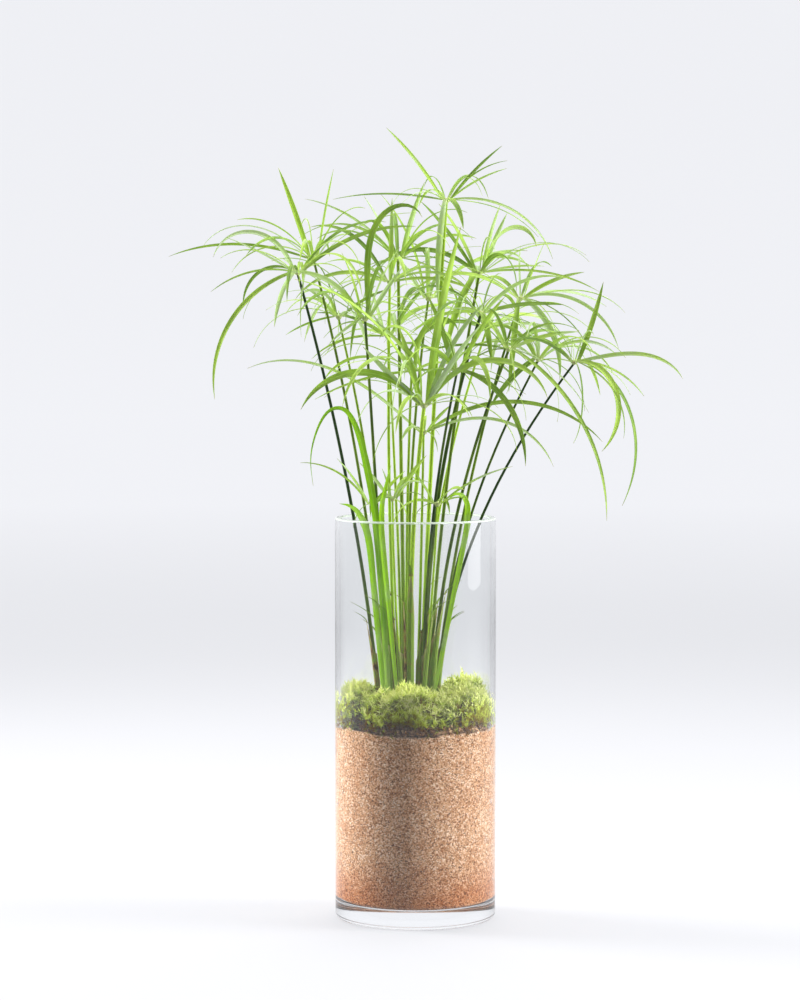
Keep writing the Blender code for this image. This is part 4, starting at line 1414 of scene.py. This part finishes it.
def cushion_point(x, y, reaches, height, turn, climb):
    """A point on a cushion's skin: turn goes round it and climb is 0 at its foot and 1 on its crown."""
    wall, start = 0.3, 0.42
    angle = math.radians(90 * (1 - max(0.0, climb - wall) / (1 - wall)))
    share = math.sin(angle) ** 0.8
    rise = start * min(1.0, climb / wall) + (1 - start) * math.cos(angle) ** 1.1
    at = (turn % math.tau) / math.tau * len(reaches)
    low = int(at) % len(reaches)
    own = reaches[low] + (reaches[(low + 1) % len(reaches)] - reaches[low]) * (at - int(at))
    px, py = x + own * share * math.cos(turn), y + own * share * math.sin(turn)
    lump = 1 + 0.4 * ripple((px, py, 0), 12.0) + 0.14 * ripple((px, py, 0), 5.0, 2)
    return Vector((px, py, SOIL_TOP + GAP + rise * height * lump))


class PAPYRUS_OT_moss(bpy.types.Operator):
    """Lays the six cushions of moss and covers each with curled shoots"""

    bl_idname = "papyrus.moss"
    bl_label = "Moss cushions"

    def execute(self, context):
        size = context.scene.papyrus_moss
        look = sheet_moss(size.shadow, size.old, size.fresh, size.tip)
        verts, faces, climb = moss_shoot()
        for number, (name, x, y, most, height) in enumerate(MOSS):
            chance = np.random.default_rng(40 + number)
            middle = Vector((x, y))
            sides = range(CUSHION_SIDES)
            reaches = [moss_reach(middle, math.tau * i / CUSHION_SIDES, most) for i in sides]
            reaches = [sum(reaches[(i + k) % CUSHION_SIDES] for k in (-1, 0, 1)) / 3 for i in sides]
            height *= 0.66 if y < 0 or x > 30 else 0.38
            dome = self.make_dome(name, x, y, reaches, height, look)
            count = int(size.shoots * (1.0 if y < 0 else 0.8) * (0.75 + 0.25 * most / 28))
            roots, ways, backs, sizes = [], [], [], []
            while len(roots) < count:
                turn, up = chance.uniform(0, math.tau), chance.uniform(0, 1) ** 0.9
                if self.hangs_over(chance, x, y, reaches, turn, roots, ways, backs, sizes):
                    continue
                spot = cushion_point(x, y, reaches, height, turn, up)
                beside = cushion_point(x, y, reaches, height, turn + 0.05, up)
                above = cushion_point(x, y, reaches, height, turn, min(1.0, up + 0.04))
                normal = (beside - spot).cross(above - spot)
                if normal.length < 1e-6:
                    normal = Vector((0, 0, 1))
                normal.normalize()
                if normal.z < -0.2:
                    continue
                along = Vector(chance.normal(size=3))
                along = (along - normal * along.dot(normal)).normalized()
                way = along + normal * chance.uniform(0.05, 0.75) + Vector((0, 0, 0.12))
                length = size.length / MM * chance.uniform(0.6, 1.25)
                roots.append(spot - normal * 0.12 * length - along * 0.4 * length)
                ways.append(way.normalized())
                backs.append(normal)
                sizes.append(length)
            self.cover_gaps(number, chance, roots, ways, backs, sizes)
            turns = self.frames(chance, ways, backs)
            count = len(roots)
            tint = chance.uniform(0, 1, count)
            shoots = scatter(
                name + "_shoots", verts, faces, np.array(roots), turns, np.array(sizes), look, tint=tint
            )
            self.press_to_glass(shoots.data)
            # Colour place along each shoot and over the cushion, darker lower down and brighter higher up: partly the
            # moss's own brown base and fresh tips, partly painted shade and painted light
            spots = places_of(shoots.data) / MM
            rise = spots[:, 2] - SOIL_TOP - self.brown_shade_height(spots)
            reach = np.tile(climb, count) * np.interp(rise, (-7, 0, 9), (0.1, 0.5, 1.0))
            mark(shoots.data, "reach", reach + np.interp(rise, (10, 24), (0, 0.12)))
            piece = join([dome, shoots], name.replace("moss", "moss_cushion"))
            hand_over(piece, name)
        return {"FINISHED"}

    def brown_shade_height(self, spots):
        """How much higher the moss's dark brown underside shows at three places along the glass: partly the moss's own
        brown, partly painted shade.
        """
        turn = np.degrees(np.arctan2(spots[:, 1], spots[:, 0]))
        height = 0.0
        for azimuth, half, most in BROWN_SHADE_PLACES:
            away = (turn - azimuth + 180) % 360 - 180
            height = height + most * np.exp(-((away / half) ** 2))
        return height * np.interp(np.hypot(spots[:, 0], spots[:, 1]), (BORE - 14, BORE - 4), (0, 1))

    def hangs_over(self, chance, x, y, reaches, turn, roots, ways, backs, sizes):
        """Some shoots lean out from the foot and hang down over the edge of the soil, few at two bare places."""
        if chance.uniform() > 0.3:
            return False
        foot = cushion_point(x, y, reaches, 1.0, turn, 0.0)
        out = Vector((foot.x, foot.y, 0)).normalized()
        turn = math.degrees(math.atan2(foot.y, foot.x))
        bare = min(abs(turn - azimuth) for azimuth in BARE_PLACES)
        if foot.to_2d().length < SOIL_RADIUS - 10 or chance.uniform(2, 26) > bare:
            return False
        roots.append(foot - out * 2 + Vector((0, 0, chance.uniform(-6, 3))))
        way = out * 0.7 + Vector((0, 0, chance.uniform(-1.2, 0.5))) + Vector(chance.normal(size=3)) * 0.4
        ways.append(way.normalized())
        backs.append(out)
        sizes.append(chance.uniform(5, 8.5))
        return True

    def make_dome(self, name, x, y, reaches, height, look):
        """The packed, shaded heart of the cushion that the shoots stand in."""
        sides, rows = CUSHION_SIDES, 10
        verts, faces = [], []
        for i in range(rows):
            for k in range(sides):
                spot = cushion_point(x, y, reaches, height, math.tau * k / sides, i / rows)
                middle = Vector((x, y, SOIL_TOP + GAP))
                verts.append(middle + (spot - middle) * (0.93 if i else 0.9))
        for i in range(rows - 1):
            for k in range(sides):
                a, b = i * sides + k, i * sides + (k + 1) % sides
                faces.append((a, b, b + sides, a + sides))
        verts += [Vector((x, y, SOIL_TOP + GAP)), Vector((x, y, SOIL_TOP + GAP + 0.93 * height))]
        last = (rows - 1) * sides
        faces += [((k + 1) % sides, k, len(verts) - 2) for k in range(sides)]
        faces += [(last + k, last + (k + 1) % sides, len(verts) - 1) for k in range(sides)]
        dome = new_piece(name + "_dome", verts, faces, look)
        # The dome takes the dark colour of the depths: painted shade among the shoots
        mark(dome.data, "reach", 0.12)
        mark(dome.data, "tint", 0.4)
        return dome

    def cover_gaps(self, number, chance, roots, ways, backs, sizes):
        """Low shoots on the soil between the stems, each on the cushion that lies nearest."""
        room_x, room_y, half_x, half_y = STEM_ROOM
        for _ in range(GAP_SHOOTS):
            turn, share = chance.uniform(0, math.tau), math.sqrt(chance.uniform(0, 1)) * 1.06
            spot = Vector((room_x + half_x * share * math.cos(turn), room_y + half_y * share * math.sin(turn)))
            near = min(range(len(MOSS)), key=lambda k: (Vector(MOSS[k][1:3]) - spot).length)
            if near != number:
                continue
            roots.append(Vector((spot.x, spot.y, SOIL_TOP - 1)))
            ways.append((Vector((0, 0, 1)) + Vector(chance.normal(size=3)) * 0.6).normalized())
            backs.append(Vector(chance.normal(size=3)))
            sizes.append(chance.uniform(5, 9) * (0.7 + 0.5 * share))

    def frames(self, chance, ways, backs):
        """One rotation a shoot: along its way, its two rows of leaves flat on the cushion and its tip curled up."""
        turns = []
        for way, back in zip(ways, backs):
            rough = back + Vector(chance.normal(size=3)) * 0.3
            flat = (rough - way * rough.dot(way)).normalized()
            turns.append(np.array(Matrix((flat, way.cross(flat), way)).transposed()))
        return np.array(turns)

    def press_to_glass(self, mesh):
        """Shoots that would pass through the glass lie flat against it, and none goes lower than 1.5 mm below the
        sand's top.
        """
        spots = places_of(mesh) / MM
        reach = np.hypot(spots[:, 0], spots[:, 1])
        spots[:, :2] *= np.minimum(1.0, (BORE + 0.08) / np.maximum(reach, 1e-6))[:, None]
        spots[:, 2] = np.maximum(spots[:, 2], SAND_TOP - 1.5)
        move_to(mesh, spots * MM)


# Stems, umbels and leaves


class PAPYRUS_OT_stems(bpy.types.Operator):
    """Bends each stem along its curve and wraps its foot in a sheath that ends in a short spur"""

    bl_idname = "papyrus.stems"
    bl_label = "Stems and sheaths"

    def execute(self, context):
        size = context.scene.papyrus_plant
        culm_look = sedge_culm(size.culm_old, size.culm_young)
        sheath_look = papery_sheath(linear("9fbf4c"), linear("5b3b2b"))
        rod, wrap, blade = make_rod(), make_wrap(), make_blade()
        sheaths = {number: rest for number, *rest in SHEATHS}
        for number, (foot, middle, top, thickness, _) in enumerate(CULMS, 1):
            line = culm_line(foot, middle, top, BRACT_STEPS)
            share = np.linspace(0, 1, len(line))
            half = thickness / 2 * (1 + STEM_TAPER * (1 - 2 * share)) * (1 + 0.18 * np.exp(-share * 14))
            shade = 1.7 * CULM_SHADES[number - 1] - 0.25
            name = f"culm_{number:02d}"
            culm = bend(rod, name, line, (1, 0, 0), half, culm_look, roll=(0, 90), shade=shade, climb="climb")
            height, turn, spur, old = sheaths[number]
            way = heading(math.radians(turn))
            x, y, z = np.array([list(point) for point in culm_line(foot, middle, top, 200)]).T
            climb = FOOT + height * np.arange(17) / 16
            sheath_line = np.stack([np.interp(climb, z, axis) for axis in (x, y, z)], 1)
            loose = thickness / 2 * 1.25 + 0.45 + 0.5 * np.linspace(0, 1, 17) ** 3
            sheath = bend(wrap, "sheath", sheath_line, way, loose, sheath_look, old=old, shade=shade)
            start = sheath_line[-1] + way * loose[-1] - np.array([0, 0, 1.0])
            step = np.linspace(0, 1, 13)
            up = np.array([0, 0, 0.9])
            points = [start + spur * s * (way * (0.15 + 0.85 * s) + up) for s in step]
            width = 1.5 * (1 - step**1.4) + 0.06
            side = (-way[1], way[0], 0.0)
            tip = bend(blade, "spur", points, side, width, sheath_look, old=old * 0.5, shade=shade)
            cover = join([sheath, tip], "sheath")
            apply_modifier(cover, "SOLIDIFY", thickness=0.22 * MM, offset=0)
            stem = join([culm, cover], name)
            bpy.ops.object.shade_smooth_by_angle(angle=math.radians(60))
            hand_over(stem, f"stem_{number:02d}")
        for template in (rod, wrap, blade):
            bpy.data.objects.remove(template)
        return {"FINISHED"}


def thin_bracts(number, top, lean, big, wanted):
    """The thread-thin bracts of an umbel, as azimuth, points and width."""
    chance = random.Random(700 + number)
    hub = Vector(top)
    found = []
    count = wanted if big else round(wanted * 0.4)
    for k in range(count):
        azimuth = 360 * (k + chance.uniform(0.1, 0.9)) / count
        rise = chance.uniform(-12, 66) - 0.4 * lean * math.cos(math.radians(azimuth))
        length = chance.uniform(0.5, 1.0) * (96 if big else 42)
        points = bract_line(hub, azimuth, rise, length, chance.uniform(35, 115), chance.uniform(0.9, 1.8))
        found.append((azimuth, points, chance.uniform(0.7, 1.5)))
    return found


class PAPYRUS_OT_umbels(bpy.types.Operator):
    """Bends every bract of every umbel, gives the blades their thickness and sets the crown between them"""

    bl_idname = "papyrus.umbels"
    bl_label = "Umbels"

    def execute(self, context):
        size = context.scene.papyrus_plant
        look = sedge_blade("sedge_bract", size.old, size.young, size.lit, 0.45)
        crown_look = umbel_crown()
        blade = make_blade()
        settled = settle_all()
        for number, (_, middle, top, thickness, wanted) in enumerate(CULMS, 1):
            chance = random.Random(300 + number)
            lean = math.degrees(math.atan2(top[0] - middle[0], top[2] - middle[2]))
            blades = []
            fine = thin_bracts(number, top, lean, wanted > 6, size.rays)
            young = [
                (azimuth, bract_line(Vector(top), azimuth, rise, length, droop, late), width)
                for azimuth, rise, length, droop, width, late in UPRIGHT.get(number, ())
            ]
            told = len(young) + len(BRACTS.get(number, ()))
            for k, (azimuth, points, width) in enumerate(young + settled[number] + fine):
                facing = chance.uniform(48, 78) if k < told else chance.uniform(25, 62)
                blades.append(self.lay_blade(blade, chance, points, width, look, CULM_SHADES[number - 1], facing))
            whorl = join(blades, "whorl")
            apply_modifier(whorl, "SOLIDIFY", thickness=size.blade, offset=0)
            umbel = join([whorl, self.make_crown(top, thickness, crown_look)], f"bracts_{number:02d}")
            bpy.ops.object.shade_smooth_by_angle(angle=math.radians(60))
            hand_over(umbel, f"umbel_{number:02d}")
        bpy.data.objects.remove(blade)
        return {"FINISHED"}

    def lay_blade(self, blade, chance, points, width, look, shade, facing):
        """One bract: swayed a little to a side and rolled so that its face turns up and outwards."""
        line = np.array([list(point) for point in points])
        run = line[-1] - line[0]
        side = np.array([-run[1], run[0], 0.0])
        side /= np.linalg.norm(side)
        share = np.linspace(0, 1, len(line))
        sway = chance.uniform(-1, 1) * min(1.6, 0.02 * np.linalg.norm(run))
        line = line + side * (sway * np.sin(math.pi * share * chance.uniform(0.8, 1.5)) * share)[:, None]
        half = np.array([max(0.03, width / 2 * blade_width(s)) for s in share])
        # Each blade's own colour number; the highest take the pale painted sheen
        own = shade * 0.25 + chance.uniform(-0.1, 1.0)
        tilt = facing * (1 if chance.random() < 0.75 else -0.8)
        root = tilt * side[1]
        return bend(blade, "bract", line, side, half, look, roll=(root, root + chance.uniform(-20, 30)), shade=own)

    def make_crown(self, top, thickness, look):
        """The small knob on the culm's tip that the bracts stand on."""
        deselect()
        bpy.ops.mesh.primitive_uv_sphere_add(segments=16, ring_count=9, radius=1)
        crown = bpy.context.object
        spots = places_of(crown.data)
        turn = np.arctan2(spots[:, 1], spots[:, 0])
        wide = (thickness / 2 + 1.3) * (1 + 0.12 * np.cos(5 * turn) * (1 - spots[:, 2] ** 2))
        spots = np.stack([spots[:, 0] * wide, spots[:, 1] * wide, spots[:, 2] * np.where(spots[:, 2] > 0, 1.5, 2.6)], 1)
        move_to(crown.data, (spots + np.array(top)) * MM)
        crown.data.materials.append(look)
        return crown


class PAPYRUS_OT_leaves(bpy.types.Operator):
    """Bends the four leaves that rise from the moss beside the stems"""

    bl_idname = "papyrus.leaves"
    bl_label = "Young leaves"

    def execute(self, context):
        size = context.scene.papyrus_plant
        look = sedge_blade("young_leaf", linear("8fbe34"), linear("c0e844"), linear("d2f248"), 0.5)
        blade = make_blade()
        for name, route, width in LEAVES:
            line = smooth_line(route, BRACT_STEPS)
            tangent = np.gradient(line, axis=0)
            across = np.cross(tangent, (0, 1, 0))
            share = np.linspace(0, 1, len(line))
            outline = leaf_outline if name == "leaf_tall" else leaf_width
            half = np.array([max(0.12, width / 2 * outline(s)) for s in share])
            own = 0.1 if name == "leaf_tall" else 0.6
            leaf = bend(blade, name + "_blade", line, across, half, look, roll=(0, 12), shade=own)
            apply_modifier(leaf, "SOLIDIFY", thickness=size.blade * 1.2, offset=0)
            apply_modifier(leaf, "SUBSURF", levels=1, render_levels=1)
            bpy.ops.object.shade_smooth_by_angle(angle=math.radians(60))
            hand_over(leaf, name)
        bpy.data.objects.remove(blade)
        return {"FINISHED"}


# Stage

FLOOR_DROP = -0.02
BOWL_FLAT = 5000
BOWL_BEND = 3000
LAMP_SPREAD = 80
LENS = 113.3
CAMERA_PLACE = (-0.0115, -2.34, 0.455)
CAMERA_DIP = 3.48

# Soft boxes: name, middle in metres, width and height in metres, the setting that holds its power
LAMPS = (
    ("left_softbox", (-2.1, 0.8, 1.05), (1.0, 1.4), "left_lamp"),
    ("right_softbox", (2.2, -0.25, 1.1), (1.0, 1.4), "right_lamp"),
    ("top_softbox", (0.3, 0.9, 2.8), (2.0, 2.0), "top_lamp"),
    ("window", (2.3, 0.1, 0.98), (1.2, 2.0), "window_lamp"),
)


class PAPYRUS_OT_stage(bpy.types.Operator):
    """Sets up the pale paper bowl, the soft boxes and the camera"""

    bl_idname = "papyrus.stage"
    bl_label = "Stage"

    def execute(self, context):
        stage = context.scene.papyrus_stage
        look = studio_paper(stage.paper, stage.glow, stage.back_glow, stage.front_glow)
        profile = [(reach, FLOOR_DROP) for reach in (0, 300, 1200, BOWL_FLAT)]
        for turn in np.radians(range(10, 91, 10)):
            profile.append((BOWL_FLAT + BOWL_BEND * math.sin(turn), BOWL_BEND * (1 - math.cos(turn))))
        profile.append((BOWL_FLAT + BOWL_BEND, 7000))
        bowl = turned("paper_bowl", profile, 96, look)
        activate(bowl)
        bpy.ops.object.mode_set(mode="EDIT")
        bpy.ops.mesh.select_all(action="SELECT")
        bpy.ops.mesh.flip_normals()
        bpy.ops.object.mode_set(mode="OBJECT")
        bpy.ops.object.shade_smooth()
        for name, place, size, key in LAMPS:
            self.add_lamp(name, place, size, getattr(stage, key), mirrored=name == "window")
        world = bpy.data.worlds.new("studio_air")
        world.use_nodes = True
        sky = world.node_tree.nodes["Background"]
        sky.inputs["Color"].default_value = linear("f4f6fb")
        sky.inputs["Strength"].default_value = 0.9
        context.scene.world = world
        context.scene.view_settings.view_transform = "Standard"
        lens = bpy.data.cameras.new("camera")
        lens.lens = LENS
        lens.sensor_width = 36
        camera = bpy.data.objects.new("camera", lens)
        camera.location = CAMERA_PLACE
        camera.rotation_euler = (math.radians(90 - CAMERA_DIP), 0, 0)
        context.scene.collection.objects.link(camera)
        context.scene.camera = camera
        return {"FINISHED"}

    def add_lamp(self, name, place, size, power, mirrored):
        """A soft box that faces the middle of the plant and doesn't show itself, or only in the glass."""
        lamp = bpy.data.lights.new(name, "AREA")
        lamp.shape = "RECTANGLE"
        lamp.size, lamp.size_y = size
        lamp.energy = power
        lamp.spread = math.radians(LAMP_SPREAD)
        box = bpy.data.objects.new(name, lamp)
        box.location = place
        box.rotation_euler = (Vector((0, 0, 0.3)) - Vector(place)).to_track_quat("-Z", "Y").to_euler()
        box.visible_camera = box.visible_transmission = False
        box.visible_glossy = mirrored
        bpy.context.scene.collection.objects.link(box)


class PAPYRUS_PT_panel(bpy.types.Panel):
    """The plant's pieces and their sizes and colours"""

    bl_label = "Potted papyrus"
    bl_idname = "PAPYRUS_PT_panel"
    bl_space_type = "VIEW_3D"
    bl_region_type = "UI"
    bl_category = "Papyrus"

    def draw(self, context):
        layout = self.layout
        for operator in OPERATORS:
            layout.operator(operator.bl_idname)
        for key, group in SETTINGS.items():
            box = layout.box()
            box.label(text=group.__name__.replace("Settings", ""))
            for name in group.__annotations__:
                box.prop(getattr(context.scene, key), name)


OPERATORS = (
    PAPYRUS_OT_vase,
    PAPYRUS_OT_sand,
    PAPYRUS_OT_soil,
    PAPYRUS_OT_moss,
    PAPYRUS_OT_stems,
    PAPYRUS_OT_umbels,
    PAPYRUS_OT_leaves,
    PAPYRUS_OT_stage,
)
SETTINGS = {
    "papyrus_vase": VaseSettings,
    "papyrus_sand": SandSettings,
    "papyrus_moss": MossSettings,
    "papyrus_plant": PlantSettings,
    "papyrus_stage": StageSettings,
}


def register():
    for item in (*SETTINGS.values(), *OPERATORS, PAPYRUS_PT_panel):
        bpy.utils.register_class(item)
    for key, group in SETTINGS.items():
        setattr(bpy.types.Scene, key, bpy.props.PointerProperty(type=group))


def unregister():
    for key in SETTINGS:
        delattr(bpy.types.Scene, key)
    for item in (PAPYRUS_PT_panel, *reversed(OPERATORS), *reversed(SETTINGS.values())):
        bpy.utils.unregister_class(item)


def main():
    register()
    bpy.ops.papyrus.vase()
    bpy.ops.papyrus.sand()
    bpy.ops.papyrus.soil()
    bpy.ops.papyrus.moss()
    bpy.ops.papyrus.stems()
    bpy.ops.papyrus.umbels()
    bpy.ops.papyrus.leaves()
    bpy.ops.papyrus.stage()


if __name__ == "__main__":
    main()
